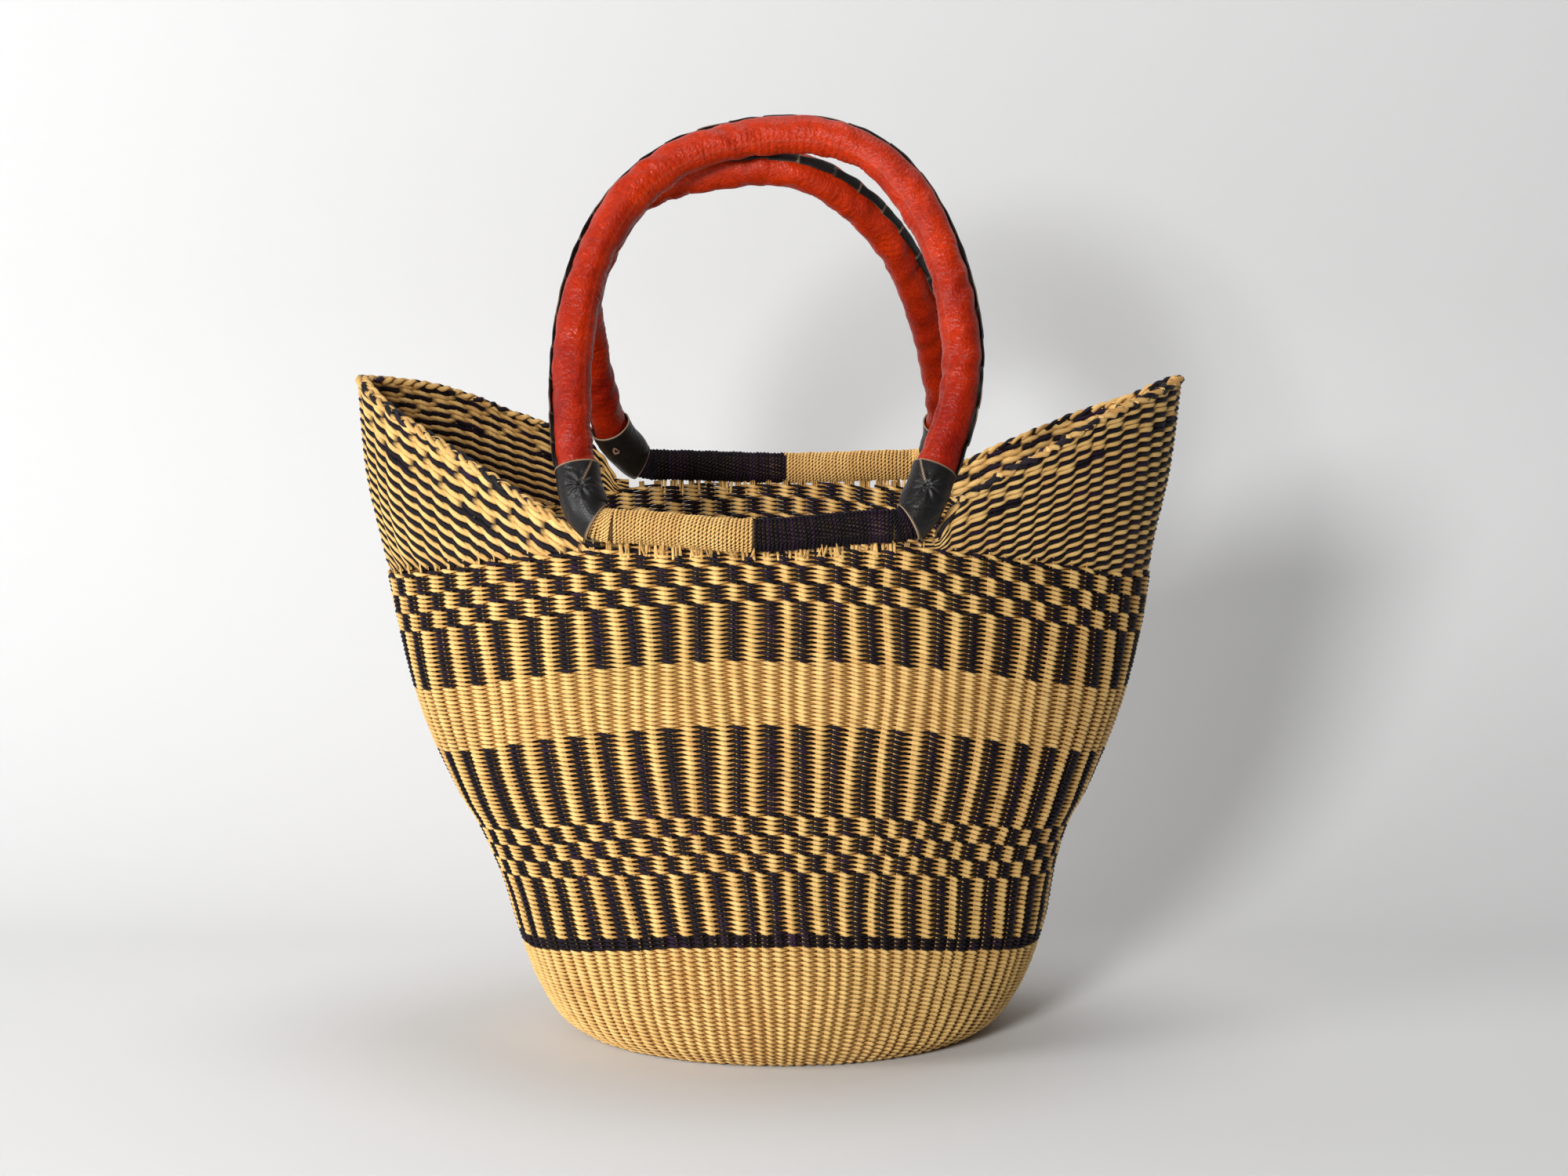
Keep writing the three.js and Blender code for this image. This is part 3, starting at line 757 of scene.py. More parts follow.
CUFF_START, CUFF_LENGTH, SLEEVE_TUCK = 8.5, 30.0, 9.0
ROOT_TUCK = 6.0       # the root cord runs this far into its cuff
for side in ("front", "back"):
    shape = SHAPES[side]
    spans = {"straw": (shape["left"] + GAP, ROLL["split"] - .2, 0.0),
             "purple": (ROLL["split"] + .2, shape["right"] - GAP, 1.0)}
    for colour, (start, end, dye) in spans.items():
        x = np.linspace(start, end, 240)
        line = roll_line(side, x)
        tubes = wound_cord(line, ROLL["diameter"] / 2, 40 + len(colour), dye)
        for piece in tubes:
            piece["rings"] = half_turn(side, piece["rings"])
        name = f"{side}_roll_{colour}_cord"
        pieces[name] = strands_mesh(name, tubes)
    line, far = arch_line(side)
    for end, dye in (("left", 0.0), ("right", 1.0)):
        near = line if end == "left" else line[::-1]
        run = near[far < CUFF_START + ROOT_TUCK]
        tubes = wound_cord(run, ROLL["diameter"] / 2, 60 + len(end), dye, ROOT_PITCH)
        for piece in tubes:
            piece["rings"] = stand_arch(side, piece["rings"])
        name = f"{side}_{end}_root_cord"
        pieces[name] = strands_mesh(name, tubes)

# %% [markdown]
# ## The leather sleeves
# Each handle is a grass bundle in a sleeve of thin orange-red leather. Wet leather shrinks
# over the bundle's own winding, so it ripples every few millimetres and creases on the
# inside of the bend. A seam runs along the inside.

# %% Leather sleeves
SLEEVE = 19.5
AROUND = 64           # points round the sleeve
SLEEVE_SKIN = 0.35    # the ripples start this far under the sleeve's full radius
RIPPLE, FINE_RIPPLE = 3.5, 2.3
CREASES, PEBBLES = 90, 160
SEAM_TURN = math.radians(226)


def skin_mesh(name, rings, edge, looped=False):
    """One closed skin through rings of points, with a mark where a pale cut edge shows."""
    piece = tube(rings, looped, 0.0, 0.5)
    made = strands_mesh(name, [piece])
    mark = made.data.attributes.new("edge", "FLOAT", "POINT")
    values = np.broadcast_to(edge, piece["rings"].shape[:2])
    mark.data.foreach_set("value", values.astype(np.float32).ravel())
    return made


def sleeve(side):
    """The red leather of one handle, with ripples, creases, pebbles and a seam."""
    line, far = arch_line(side)
    start = CUFF_START + CUFF_LENGTH - SLEEVE_TUCK + 1.5
    place = np.arange(start, far[-1] - start, .6)
    _, outer_all, side_all = frames(line)
    centre, outer, across = (along_line(far, v, place) for v in (line, outer_all, side_all))
    lot = np.random.default_rng(71 + len(side))
    angle = np.arange(AROUND) / AROUND * 2 * np.pi
    s, a = place[:, None], angle[None, :]
    inner_side = .5 - .5 * np.cos(a)
    drift = 2.1 * np.sin(a + s / 41) + 1.6 * np.sin(s / 29)
    patch = np.clip(.5 + .9 * np.sin(s / 17 + drift), 0, 1)
    warp = 1.9 * np.sin(a + s / 23) + 1.3 * np.sin(2 * a + s / 9) + 2.2 * np.sin(s / 12.7)
    ripple = np.sin(2 * np.pi * s / RIPPLE + warp)
    ripple = ripple + .5 * np.sin(2 * np.pi * s / FINE_RIPPLE - 2 * warp)
    strength = .01 + .075 * inner_side * patch + .03 * patch
    lump = .34 * np.sin(s / 4.6 + 2.2 * np.sin(a + s / 31)) * np.sin(s / 7.3 + 1.3 * np.cos(a))
    lump = lump + .34 * np.sin(s / 13 + 2 * a) + .2 * np.sin(s / 3.1 + 3 * a + 2 * np.sin(s / 8))
    radius = SLEEVE / 2 - SLEEVE_SKIN + strength * ripple + 1.25 * lump
    for _ in range(CREASES):
        spot, way = lot.uniform(start, far[-1] - start), lot.uniform(0, 2 * np.pi)
        tilt, long = lot.uniform(-1.2, 1.2), lot.uniform(2.5, 7)
        gap = np.abs(short_way(a - way)) * SLEEVE / 2
        line_off = (s - spot) - tilt * gap
        radius = radius - .34 * np.exp(-(line_off / .7) ** 2) * np.exp(-(gap / long) ** 2)
    for _ in range(PEBBLES):
        spot, way = lot.uniform(start, far[-1] - start), lot.uniform(0, 2 * np.pi)
        gap = short_way(a - way) * SLEEVE / 2
        size = lot.uniform(.9, 1.8)
        radius = radius + .22 * np.exp(-((s - spot) ** 2 + gap ** 2) / size ** 2)
    seam = np.abs(short_way(a - SEAM_TURN)) * SLEEVE / 2
    radius = radius + .18 * np.exp(-(seam / .7) ** 2) - .25 * np.exp(-((seam - 1.3) / .5) ** 2)
    points = around_line(centre, radius, a, outer, across)
    edge = .12 * np.exp(-(seam / .4) ** 2)
    made = skin_mesh(side + "_handle_leather", stand_arch(side, points), edge)
    # The tint mark of the leather holds the height on the arch; the finish paints light from it,
    # brighter high up and deeper low down.
    rise = np.repeat(centre[:, 2] / SHAPES[side]["rise"], AROUND)
    made.data.attributes["tint"].data.foreach_set("value", rise.astype(np.float32))
    return made


for side in ("front", "back"):
    pieces[side + "_handle_leather"] = sleeve(side)

# %% [markdown]
# ## The black binding strip
# A narrow strip of black leather closes the sleeve. It is folded over again and again, so
# its edge jogs every centimetre or two and a pale cut edge shows on the folds.

# %% Binding strips
SHORT_FOLD, LONG_FOLD = 13, 21
STRIP_TUCK = 5        # the strip's ends dip in under the cuffs over this length


def binding(side):
    """The black strip of one handle, folded over every centimetre or two."""
    line, far = arch_line(side)
    start = CUFF_START + CUFF_LENGTH + 3
    place = np.arange(start - STRIP_TUCK, far[-1] - start + STRIP_TUCK, .7)
    _, outer_all, side_all = frames(line)
    centre, outer, across = (along_line(far, v, place) for v in (line, outer_all, side_all))
    lot = np.random.default_rng(81 + len(side))
    folds = [place[0]]
    while folds[-1] < place[-1]:
        folds.append(folds[-1] + lot.uniform(SHORT_FOLD, LONG_FOLD))
    part = np.interp(place, folds, np.arange(len(folds)))
    way = part - np.floor(part)
    lean = np.radians(17) + np.radians(9) * (way - .5)
    wide = 2.9 - .7 * way + .3 * np.sin(place / 2.9)
    lift = .55 + .8 * way + .1 * np.sin(place / 1.7)
    flare = 1 - np.clip((place - place[0]) / 6, 0, 1) * np.clip((place[-1] - place) / 6, 0, 1)
    section = np.arange(16) / 16 * 2 * np.pi
    spread = np.sign(np.cos(section)) * np.abs(np.cos(section)) ** .7
    tall = np.sign(np.sin(section)) * np.abs(np.sin(section)) ** .7
    offset = wide[:, None] * spread[None] / (SLEEVE / 2 + .6)
    angle = lean[:, None] + offset
    crease = .3 * np.exp(-((spread[None] - .1) / .18) ** 2)
    radius = (SLEEVE / 2 + .45 + lift[:, None] * (.55 - .45 * spread[None])
              + .62 * tall[None] - crease * (tall[None] > 0) - .9 * flare[:, None])
    points = around_line(centre, radius, angle, outer, across)
    edge = .6 * (np.abs(spread[None]) > .97) * np.clip(np.sin(place / 9), 0, 1)[:, None]
    edge = np.maximum(edge, .35 * np.exp(-((way[:, None] - .98) / .02) ** 2))
    return skin_mesh(side + "_handle_binding", stand_arch(side, points), edge)


for side in ("front", "back"):
    pieces[side + "_handle_binding"] = binding(side)

# %% [markdown]
# ## The cuffs
# A patch of black leather is drawn round each root where the handle meets the roll. Its cut
# edges are tan, a slanting overlap runs down from the top edge, and a stitch in the middle
# of its face pulls the leather into a star of small creases.

# %% Cuffs
CUFF = 22.4
CUFF_REACH = 1.0      # the soft lower edge lies this much further down over the cord
CUFF_AROUND = 96      # points round the cuff
CUFF_STEPS = 70
CUFF_FOOT = 9.9       # its radius over the cord; it widens from there over the sleeve
CUFF_SKIN = 1.0
STAR_AT = .58         # the star of creases, as a share of the length
DENTS = 26


def cuff(side, end):
    """One black cuff, drawn together into a star of creases on its face."""
    line, far = arch_line(side)
    if end == "right":
        line = line[::-1]
    place = np.linspace(CUFF_START - CUFF_REACH, CUFF_START + CUFF_LENGTH, CUFF_STEPS)
    _, outer_all, side_all = frames(line)
    if end == "right":
        outer_all = -outer_all
    centre, outer, across = (along_line(far, v, place) for v in (line, outer_all, side_all))
    angle = np.arange(CUFF_AROUND) / CUFF_AROUND * 2 * np.pi
    s, a = (place - CUFF_START)[:, None], angle[None, :]
    swell = np.clip((s + CUFF_REACH) / 15, 0, 1)
    swell = swell * swell * (3 - 2 * swell)
    radius = CUFF_FOOT + (CUFF / 2 - CUFF_FOOT) * swell + 0 * a
    lot = np.random.default_rng(91 + len(side) + len(end))
    face = -np.pi / 2 + (np.pi if across[0, 1] < 0 else 0)
    around = short_way(a - face) * CUFF / 2
    up = s - CUFF_LENGTH * STAR_AT
    spread = np.sqrt(around ** 2 + up ** 2) + 1e-6
    ray = np.arctan2(up, around)
    star = np.cos(9 * ray + .8 * np.sin(2 * ray)) * np.exp(-((spread - 4.2) / 3.4) ** 2)
    radius = radius + .42 * star - 1.1 * np.exp(-(spread / 1.4) ** 2)
    back_around = ((a - face) % (2 * np.pi) - np.pi) * CUFF / 2
    knot_spread = np.sqrt(back_around ** 2 + (s - CUFF_LENGTH + SLEEVE_TUCK) ** 2)
    radius = radius - .5 * np.exp(-(knot_spread / 2.6) ** 2)
    for _ in range(DENTS):
        spot, way = lot.uniform(0, CUFF_LENGTH), lot.uniform(0, 2 * np.pi)
        tilt = lot.uniform(-1.5, 1.5)
        gap = short_way(a - way) * CUFF / 2
        dent = np.exp(-((s - spot - tilt * gap) / .8) ** 2) * np.exp(-(gap / 6) ** 2)
        radius = radius - .2 * dent
    radius = radius + .18 * np.sin(s / 3.1 + 2 * np.cos(a)) + .15 * np.sin(2 * a + s / 5)
    seam_at = -.8 - .6 * np.clip(up, 0, 20)
    overlap = around - seam_at
    on_seam = np.clip((s - CUFF_LENGTH * .6) / 2, 0, 1)
    radius = radius + .55 * on_seam * np.exp(-np.clip(overlap, 0, 9) / 3) * (overlap > 0)
    edge = on_seam * np.exp(-(overlap / .32) ** 2)
    rims = np.exp(-((s + CUFF_REACH) / .45) ** 2) + np.exp(-((s - CUFF_LENGTH) / .45) ** 2)
    edge = np.maximum(edge, np.clip(rims, 0, 1))
    outside = around_line(centre, radius, a, outer, across)
    inside = around_line(centre, radius - CUFF_SKIN, a, outer, across)
    shell = np.concatenate([outside, inside[::-1]], axis=0)
    edge = np.concatenate([np.broadcast_to(edge, radius.shape), np.zeros(radius.shape)])
    return skin_mesh(f"{side}_{end}_cuff_leather", stand_arch(side, shell), edge, looped=True)


for side in ("front", "back"):
    for end in ("left", "right"):
        pieces[f"{side}_{end}_cuff_leather"] = cuff(side, end)

# %% [markdown]
# ## The cuff knots
# The thread that draws a cuff together ends in a small knot on the side towards the other
# handle. Three loops of thread that wander over and under each other read as one.

# %% Cuff knots
THREAD = 0.42         # half the thickness of the thread
KNOT_REACH = 1.75


def knot(side, end):
    """Three wandering loops of thread on the face of a cuff."""
    line, far = arch_line(side)
    if end == "right":
        line = line[::-1]
    at = CUFF_START + CUFF_LENGTH - SLEEVE_TUCK
    centre, along, outer, face = (along_line(far, v, at) for v in (line, *frames(line)))
    tubes = []
    for loop in range(3):
        t = np.arange(36) / 36 * 2 * np.pi
        reach = KNOT_REACH * (1 + .22 * np.cos(3 * t + 2 * loop))
        lift = CUFF / 2 + .35 + .45 * np.sin(2 * t + 2.1 * loop)
        path = (centre + np.outer(reach * np.cos(t + loop), along)
                + np.outer(.72 * reach * np.sin(t + loop), outer) + np.outer(lift, face))
        way = np.roll(path, -1, axis=0) - np.roll(path, 1, axis=0)
        way /= np.linalg.norm(way, axis=1)[:, None]
        over = np.cross(way, face)
        over /= np.linalg.norm(over, axis=1)[:, None]
        up = np.cross(over, way)
        rings = path[:, None] + THREAD * (np.cos(SECTION)[None, :, None] * over[:, None]
                                          + np.sin(SECTION)[None, :, None] * up[:, None])
        tubes.append(tube(stand_arch(side, rings), True, 0.0, .3 + .3 * loop))
    return strands_mesh(f"{side}_{end}_cuff_knot", tubes)


for side in ("front", "back"):
    for end in ("left", "right"):
        pieces[f"{side}_{end}_cuff_knot"] = knot(side, end)

# %% [markdown]
# ## Loose ends
# Under each roll the stakes come up out of the top row in small bundles, with daylight
# between them, and go into the roll. A few cut ends stick out over the wrap on the outside.

# %% Stake ends
def straw_end(path, size):
    """Rings of a thin upright straw along a path, with one size for each of its points."""
    ring = np.arange(5) / 5 * 2 * np.pi
    flat = np.stack([np.cos(ring), np.sin(ring), 0 * ring], -1)
    return path[:, None] + np.asarray(size)[:, None, None] * flat[None]


def stake_ends(side):
    """The bundles that go up into one roll, and the cut ends that stick out over it."""
    lot = np.random.default_rng(101 + len(side))
    tubes = []
    shape = SHAPES[side]
    t = np.linspace(0, 1, 7)[:, None]
    for number in range(STAKES // 2 + 1, STAKES):
        turn = turn_at(np.array(float(number)), np.array(266.0))
        root = wall(turn, np.array(263.0), MID)
        if not shape["left"] + 1 < root[0] < shape["right"] - 1:
            continue
        roll = roll_line(side, np.clip(root[:1], shape["left"], shape["right"]))[0]
        for straw in range(4):
            if lot.uniform() < .22:
                continue
            foot = root + [1.75 * (straw - 1.5), lot.uniform(-.8, .8), 0]
            top = np.array([foot[0] + lot.uniform(-1, 1), roll[1] + lot.uniform(-1.5, 2.5),
                            roll[2] - ROLL["diameter"] / 2 + 1.2])
            path = foot + (top - foot) * t + np.array([0, 0, .4]) * np.sin(np.pi * t)
            tubes.append(tube(half_turn(side, straw_end(path, np.full(7, .85))), False, 0.0,
                              lot.uniform()))
        if lot.uniform() < .28:
            continue
        for straw in range(lot.integers(2, 5)):
            foot = wall(turn, np.array(265.0), .9) + [lot.uniform(-2.2, 2.2), 0, 0]
            climb = math.radians(lot.uniform(28, 62))
            radius = ROLL["diameter"] / 2 + .35 + lot.uniform(0, .6)
            tip = np.array([foot[0] + lot.uniform(-2, 2), roll[1] - radius * math.sin(climb),
                            roll[2] - radius * math.cos(climb)])
            knee = (foot + tip) / 2 + [0, -1.3, -.6]
            path = (1 - t) ** 2 * foot + 2 * t * (1 - t) * knee + t * t * tip
            tubes.append(tube(half_turn(side, straw_end(path, np.linspace(.7, .25, 7))), False,
                              0.0, lot.uniform()))
    return strands_mesh(side + "_stake_ends", tubes, columns=6)


for side in ("front", "back"):
    pieces[side + "_stake_ends"] = stake_ends(side)

# %% [markdown]
# ## Shader groups
# Grass shows fine fibres along the strand, soft changes of colour from stitch to stitch and
# painted shade in its hollows. Leather shows a fine pebble, soft blotches of dye, and pale cut
# edges. Both patterns are node groups, so each material only sets its own colours and strengths.

# %% Node helpers
def new_group(name, inputs, outputs):
    """A shader group with its sockets, and its input and output nodes."""
    group = bpy.data.node_groups.new(name, "ShaderNodeTree")
    for label, kind, value in inputs:
        socket = group.interface.new_socket(label, in_out="INPUT", socket_type=kind)
        socket.default_value = value
    for label, kind in outputs:
        group.interface.new_socket(label, in_out="OUTPUT", socket_type=kind)
    return group, group.nodes.new("NodeGroupInput"), group.nodes.new("NodeGroupOutput")


def feed(tree, socket, value):
    """Joins another node's output to a socket, or sets the socket to a plain value."""
    if isinstance(value, bpy.types.NodeSocket):
        tree.links.new(value, socket)
    else:
        socket.default_value = value


def node(tree, kind, settings=(), **sockets):
    """A node with its settings and inputs; an input is named, or numbered as i0, i1 and so on."""
    made = tree.nodes.new(kind)
    for key, value in dict(settings).items():
        setattr(made, key, value)
    for label, value in sockets.items():
        numbered = label[0] == "i" and label[1:].isdigit()
        feed(tree, made.inputs[int(label[1:]) if numbered else label.replace("_", " ")], value)
    return made


def mix(tree, kind, factor, a, b):
    """Two colours blended."""
    made = tree.nodes.new("ShaderNodeMix")
    made.data_type = "RGBA"
    made.blend_type = kind
    for slot, value in (("Factor", factor), (6, a), (7, b)):
        feed(tree, made.inputs[slot], value)
    return made.outputs[2]


def mix_values(tree, factor, a, b):
    """Two values blended."""
    made = tree.nodes.new("ShaderNodeMix")
    made.data_type = "FLOAT"
    for slot, value in ((0, factor), (2, a), (3, b)):
        feed(tree, made.inputs[slot], value)
    return made.outputs[0]


def math_node(tree, operation, a, b):
    """Two values put through one step of arithmetic."""
    return node(tree, "ShaderNodeMath", {"operation": operation}, i0=a, i1=b).outputs[0]


# %% [markdown]
# ## Grass
# The fibres follow each strand. The dye and tint marks of the mesh choose between straw,
# ochre and purple, and the hollow mark paints shade on what lies deep.

# %% Grass group
def grass_group():
    """Colour, roughness and fibre height of dyed and plain grass."""
    group, given, out = new_group("grass_strand", [
        ("Straw", "NodeSocketColor", (.93, .62, .23, 1)),
        ("Ochre", "NodeSocketColor", (.7, .39, .12, 1)),
        ("Green", "NodeSocketColor", (.7, .5, .16, 1)),
        # the warm brown of the painted shade deep in the weave
        ("Hollow Shade", "NodeSocketColor", (.42, .29, .16, 1)),
        ("Dye", "NodeSocketColor", (.008, .005, .009, 1)),
        ("Dye Worn", "NodeSocketColor", (.035, .013, .05, 1)),
        ("Fibre", "NodeSocketFloat", 1.0),
    ], [("Colour", "NodeSocketColor"), ("Roughness", "NodeSocketFloat"),
        ("Height", "NodeSocketFloat")])
    dye = node(group, "ShaderNodeAttribute", {"attribute_name": "dye"}).outputs["Fac"]
    tint = node(group, "ShaderNodeAttribute", {"attribute_name": "tint"}).outputs["Fac"]
    hollow_shade = node(group, "ShaderNodeAttribute", {"attribute_name": "hollow_shade"}).outputs["Fac"]
    lay = node(group, "ShaderNodeUVMap", {"uv_map": "Strand"}).outputs["UV"]
    place = node(group, "ShaderNodeTexCoord").outputs["Object"]
    stretched = node(group, "ShaderNodeMapping", Vector=lay, Scale=(.16, 4.2, 1.0)).outputs[0]
    jitter = node(group, "ShaderNodeMapping", Vector=place, Scale=(40.0, 40.0, 40.0)).outputs[0]
    both = node(group, "ShaderNodeVectorMath", {"operation": "ADD"}, i0=stretched, i1=jitter)
    fibres = node(group, "ShaderNodeTexNoise", Vector=both.outputs[0], Scale=1.0, Detail=4.0,
                  Roughness=.65).outputs[0]
    patches = node(group, "ShaderNodeTexNoise", Vector=place, Scale=28.0, Detail=3.0).outputs[0]
    broad = node(group, "ShaderNodeTexNoise", Vector=place, Scale=9.0, Detail=2.0).outputs[0]
    warm = node(group, "ShaderNodeMapRange", Value=tint, From_Min=.35, From_Max=1.0).outputs[0]
    cool = node(group, "ShaderNodeMapRange", Value=broad, From_Min=.5, From_Max=.72).outputs[0]
    straw = mix(group, "MIX", math_node(group, "MULTIPLY", warm, .75), given.outputs["Straw"],
                given.outputs["Ochre"])
    straw = mix(group, "MIX", math_node(group, "MULTIPLY", cool, .5), straw, given.outputs["Green"])
    worn = node(group, "ShaderNodeMapRange", Value=tint, From_Min=.55, From_Max=1.0).outputs[0]
    worn = math_node(group, "MULTIPLY", worn, patches)
    dark = mix(group, "MIX", worn, given.outputs["Dye"], given.outputs["Dye Worn"])
    colour = mix(group, "MIX", dye, straw, dark)
    streak = node(group, "ShaderNodeMapRange", Value=fibres, From_Min=.25, From_Max=.75,
                  To_Min=.66, To_Max=1.22).outputs[0]
    grey = node(group, "ShaderNodeCombineColor", Red=streak, Green=streak, Blue=streak).outputs[0]
    colour = mix(group, "MULTIPLY", given.outputs["Fibre"], colour, grey)
    # Painted shade: the colour is multiplied towards a warm brown where the hollow mark is high.
    colour = mix(group, "MULTIPLY", hollow_shade, colour, given.outputs["Hollow Shade"])
    rough = node(group, "ShaderNodeMapRange", Value=fibres, To_Min=.68, To_Max=.5).outputs[0]
    group.links.new(colour, out.inputs["Colour"])
    group.links.new(rough, out.inputs["Roughness"])
    group.links.new(fibres, out.inputs["Height"])
    return group


# %% [markdown]
# ## Leather
# The colour is painted lighter at the top of the handle and deeper low down, where less
# light falls; blotches break it up, and the edge mark turns it tan.

# %% Leather group
def leather_group():
    """Colour, roughness and pebble height of dyed leather."""
    group, given, out = new_group("leather_grain", [
        ("Bright", "NodeSocketColor", (.8, .1, .02, 1)),
        ("Deep", "NodeSocketColor", (.4, .02, .01, 1)),
        ("Edge", "NodeSocketColor", (.5, .3, .17, 1)),
        ("Grain", "NodeSocketFloat", 900.0),
    ], [("Colour", "NodeSocketColor"), ("Roughness", "NodeSocketFloat"),
        ("Height", "NodeSocketFloat")])
    place = node(group, "ShaderNodeTexCoord").outputs["Object"]
    edge = node(group, "ShaderNodeAttribute", {"attribute_name": "edge"}).outputs["Fac"]
    rise = node(group, "ShaderNodeAttribute", {"attribute_name": "tint"}).outputs["Fac"]
    pebble = node(group, "ShaderNodeTexVoronoi", Vector=place, Scale=given.outputs["Grain"])
    blotch = node(group, "ShaderNodeTexNoise", Vector=place, Scale=45.0, Detail=4.0,
                  Roughness=.6).outputs[0]
    fine = node(group, "ShaderNodeTexNoise", Vector=place, Scale=420.0, Detail=3.0).outputs[0]
    # Painted light: the sleeve's colour is brighter high on the arch and deeper low down.
    lit = node(group, "ShaderNodeMapRange", Value=rise, From_Min=.3, From_Max=1.05,
               To_Min=.0, To_Max=.62).outputs[0]
    spot = node(group, "ShaderNodeMapRange", Value=blotch, From_Min=.35, From_Max=.68,
                To_Max=.55).outputs[0]
    share = math_node(group, "ADD", lit, spot)
    colour = mix(group, "MIX", share, given.outputs["Deep"], given.outputs["Bright"])
    shade = node(group, "ShaderNodeMapRange", Value=fine, From_Min=.3, From_Max=.7,
                 To_Min=.8, To_Max=1.14).outputs[0]
    grey = node(group, "ShaderNodeCombineColor", Red=shade, Green=shade, Blue=shade).outputs[0]
    colour = mix(group, "MULTIPLY", 1.0, colour, grey)
    colour = mix(group, "MIX", edge, colour, given.outputs["Edge"])
    rough = node(group, "ShaderNodeMapRange", Value=blotch, From_Min=.3, From_Max=.7,
                 To_Min=.5, To_Max=.34).outputs[0]
    rough = mix_values(group, edge, rough, .8)
    height = math_node(group, "ADD", math_node(group, "MULTIPLY", pebble.outputs["Distance"], .6),
                       math_node(group, "MULTIPLY", fine, .5))
    group.links.new(colour, out.inputs["Colour"])
    group.links.new(rough, out.inputs["Roughness"])
    group.links.new(height, out.inputs["Height"])
    return group

GRASS, LEATHER = grass_group(), leather_group()
for made in (GRASS, LEATHER):
    print(made.name, len(made.nodes), "nodes")

# %% [markdown]
# ## Finishes
# Each finish is a Principled surface fed by one of the two groups. Grass is dry with a soft
# gloss; the dyed leather has a low sheen that the ripples catch.

# %% Materials
def finish_of(name, group, bump, distance, specular, **values):
    """A Principled material fed by one pattern group, with its own colours and relief."""
    material = bpy.data.materials.new(name + "_finish")
    material.use_nodes = True
    tree = material.node_tree
    shader = tree.nodes["Principled BSDF"]
    pattern = tree.nodes.new("ShaderNodeGroup")
    pattern.node_tree = group
    for label, value in values.items():
        pattern.inputs[label.replace("_", " ")].default_value = value
    tree.links.new(pattern.outputs["Colour"], shader.inputs["Base Color"])
    tree.links.new(pattern.outputs["Roughness"], shader.inputs["Roughness"])
    relief = tree.nodes.new("ShaderNodeBump")
    relief.inputs["Strength"].default_value = bump
    relief.inputs["Distance"].default_value = distance
    tree.links.new(pattern.outputs["Height"], relief.inputs["Height"])
    tree.links.new(relief.outputs["Normal"], shader.inputs["Normal"])
    shader.inputs["Specular IOR Level"].default_value = specular
    return material


straw_finish = finish_of("straw_grass", GRASS, .5, .0004, .25)
mixed_finish = finish_of("mixed_grass", GRASS, .5, .0004, .15)
purple_finish = finish_of("purple_grass", GRASS, .5, .0004, .15, Dye_Worn=(.05, .016, .07, 1))
stake_finish = finish_of("stake_grass", GRASS, .5, .0004, .25, Straw=(.8, .5, .18, 1))
# Painted shade: the grass cores get a near-black brown, so the gaps between the cord turns read as
# shadow.
core_finish = finish_of("core_grass", GRASS, .5, .0004, .1, Straw=(.12, .07, .03, 1),
                        Ochre=(.08, .045, .02, 1), Green=(.1, .07, .03, 1))
red_finish = finish_of("red_leather", LEATHER, .7, .0007, .18, Bright=(.44, .025, .002, 1),
                       Deep=(.2, .0055, .001, 1), Edge=(.45, .2, .12, 1), Grain=700.0)
black_finish = finish_of("black_leather", LEATHER, .4, .0004, .25, Bright=(.012, .0105, .01, 1),
                         Deep=(.006, .0055, .0055, 1), Edge=(.36, .24, .15, 1), Grain=900.0)
thread_finish = finish_of("tan_thread", GRASS, .6, .0004, .2, Straw=(.26, .15, .1, 1),
                          Ochre=(.2, .1, .07, 1))

# %% [markdown]
# ## Each piece to its body, its finish and the CAD node it stands for
# The woven pieces ride on the basket, and the leather ones on their own handle.

# %% Riding and replacing
REPLACED = {
    "lower_straw_rows": ["lower_straw_band"], "dark_line_rows": ["dark_line_band"],
    "lower_stripe_rows": ["lower_stripe_band"], "lower_step_rows": ["lower_step_band"],
    "middle_stripe_rows": ["middle_stripe_band"], "middle_straw_rows": ["middle_straw_band"],
    "upper_stripe_rows": ["upper_stripe_band"], "upper_step_rows": ["upper_step_band"],
    "base_rows": ["base_disc"],
}
for side in ("left", "right"):
    REPLACED[side + "_wing_rows"] = [side + "_wing"]
    REPLACED[side + "_wing_border_plait"] = [side + "_wing_border"]
for side in ("front", "back"):
    REPLACED[side + "_roll_straw_cord"] = [side + "_roll_straw_wrap"]
    REPLACED[side + "_roll_purple_cord"] = [side + "_roll_purple_wrap"]
    REPLACED[side + "_handle_leather"] = [side + "_handle_sleeve"]
    REPLACED[side + "_handle_binding"] = [side + "_handle_strip"]
    for end in ("left", "right"):
        REPLACED[f"{side}_{end}_root_cord"] = [f"{side}_{end}_root_wrap"]
        REPLACED[f"{side}_{end}_cuff_leather"] = [f"{side}_{end}_cuff"]
        REPLACED[f"{side}_{end}_cuff_knot"] = [f"{side}_{end}_cuff_tie"]


def finish_for(name):
    """The finish of a piece, told by its name."""
    if name.endswith(("_cuff_leather", "_binding")):
        return black_finish
    if name.endswith("_handle_leather"):
        return red_finish
    if name.endswith("_knot"):
        return thread_finish
    if name == "stakes" or name.endswith("_stake_ends"):
        return stake_finish
    if "purple" in name or "dark_line" in name or name.endswith("right_root_cord"):
        return purple_finish
    if "straw" in name or name == "base_rows" or name.endswith(("left_root_cord", "_plait")):
        return straw_finish
    return mixed_finish


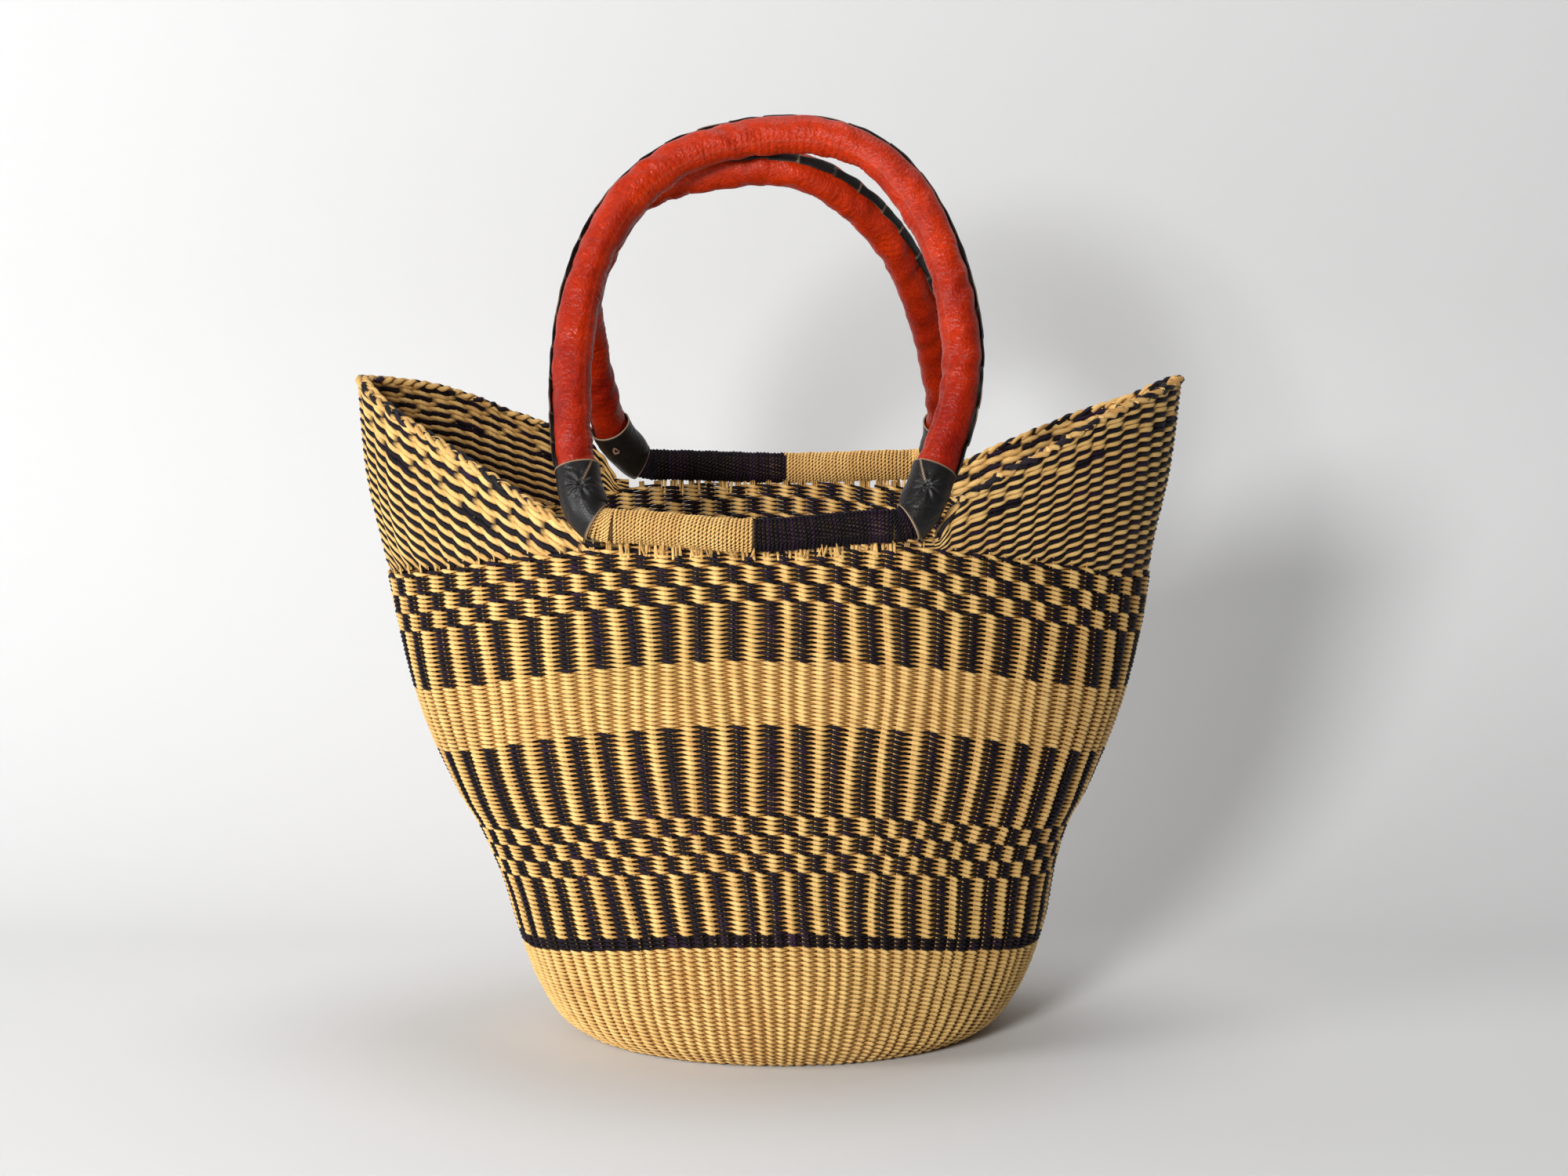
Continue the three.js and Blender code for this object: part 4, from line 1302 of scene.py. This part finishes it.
for name, piece in pieces.items():
    finish = finish_for(name)
    piece.data.materials.append(finish)
    on_handle = any(word in name for word in ("_handle_", "_cuff_", "_root_cord"))
    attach(piece, name.split("_")[0] + "_handle" if on_handle else "basket")
    if name in REPLACED:
        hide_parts(*REPLACED[name])

# The CAD cores take the near-black core finish, painted shade in the gaps of the wraps.
for node_name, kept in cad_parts.items():
    if node_name.endswith("_core"):
        kept.data.materials.clear()
        kept.data.materials.append(core_finish)

print(len(pieces), "pieces ride,", sum(len(REPLACED[name]) for name in pieces if name in REPLACED),
      "CAD nodes replaced")

# %% [markdown]
# ## Floor, light and camera
# A pale sheet curves up behind the basket, as in a studio. Light is large and soft from the
# front, with a wide fill from the left and a broad light above.

# %% Studio
def backdrop():
    """The paper sheet: flat in front, curved up behind, and clear when seen from its back."""
    steps = 24
    front, back, bend, width, height = -2.6, .17, .34, 3.0, 2.4
    profile = [(front, 0.0), (back, 0.0)]
    for i in range(1, steps + 1):
        angle = i / steps * math.pi / 2
        profile.append((back + bend * math.sin(angle), bend * (1 - math.cos(angle))))
    profile.append((back + bend, height))
    points = [(x, y, z) for y, z in profile for x in (-width, width)]
    faces = [(2 * i, 2 * i + 1, 2 * i + 3, 2 * i + 2) for i in range(len(profile) - 1)]
    me = bpy.data.meshes.new("studio_sheet")
    me.from_pydata(points, [], faces)
    for face in me.polygons:
        face.use_smooth = True
    made = bpy.data.objects.new("studio_sheet", me)
    bpy.context.scene.collection.objects.link(made)
    paint = bpy.data.materials.new("studio_paper")
    paint.use_nodes = True
    tree = paint.node_tree
    shader = tree.nodes["Principled BSDF"]
    cloud = node(tree, "ShaderNodeTexNoise", Scale=1.5, Detail=2.0).outputs[0]
    tone = node(tree, "ShaderNodeMapRange", Value=cloud, To_Min=.6, To_Max=.64).outputs[0]
    grey = node(tree, "ShaderNodeCombineColor", Red=tone, Green=tone, Blue=tone).outputs[0]
    tree.links.new(grey, shader.inputs["Base Color"])
    shader.inputs["Roughness"].default_value = .8
    away = node(tree, "ShaderNodeNewGeometry").outputs["Backfacing"]
    tree.links.new(math_node(tree, "SUBTRACT", 1.0, away), shader.inputs["Alpha"])
    me.materials.append(paint)


def area_light(name, place, aim, size, power):
    """A round area light at a place, turned to what it lights."""
    data = bpy.data.lights.new(name, "AREA")
    data.shape, data.size, data.energy = "DISK", size, power
    made = bpy.data.objects.new(name, data)
    bpy.context.scene.collection.objects.link(made)
    way = np.array(aim, float) - np.array(place, float)
    way /= np.linalg.norm(way)
    side = np.cross(way, (0, 0, 1))
    side /= np.linalg.norm(side)
    top = np.cross(side, way)
    rows = [[side[i], top[i], -way[i], place[i]] for i in range(3)]
    made.matrix_world = Matrix(rows + [[0, 0, 0, 1]])


backdrop()
# name, place and aim in metres, size in metres, power in watts
area_light("key", (-.66, -2.2, .95), (0, 0, .15), .5, 53)
area_light("left_fill", (-1.8, -1.0, .8), (-.3, .3, .2), .9, 27)
area_light("top", (.15, .12, 2.3), (.1, 0, 0), 1.0, 16)
world = bpy.data.worlds.new("studio_air")
world.use_nodes = True
world.node_tree.nodes["Background"].inputs["Color"].default_value = (.93, .94, .96, 1)
world.node_tree.nodes["Background"].inputs["Strength"].default_value = .05
bpy.context.scene.world = world

lens = bpy.data.cameras.new("camera")
lens.lens, lens.sensor_width = 90.3, 36.0
camera = bpy.data.objects.new("camera", lens)
bpy.context.scene.collection.objects.link(camera)
camera.location = (.0073, -2.0, .5575)
camera.rotation_euler = (math.radians(80.7), 0, 0)
bpy.context.scene.camera = camera
bpy.context.scene.view_settings.view_transform = "Standard"
print("camera", tuple(round(value, 3) for value in camera.location), lens.lens, "mm")
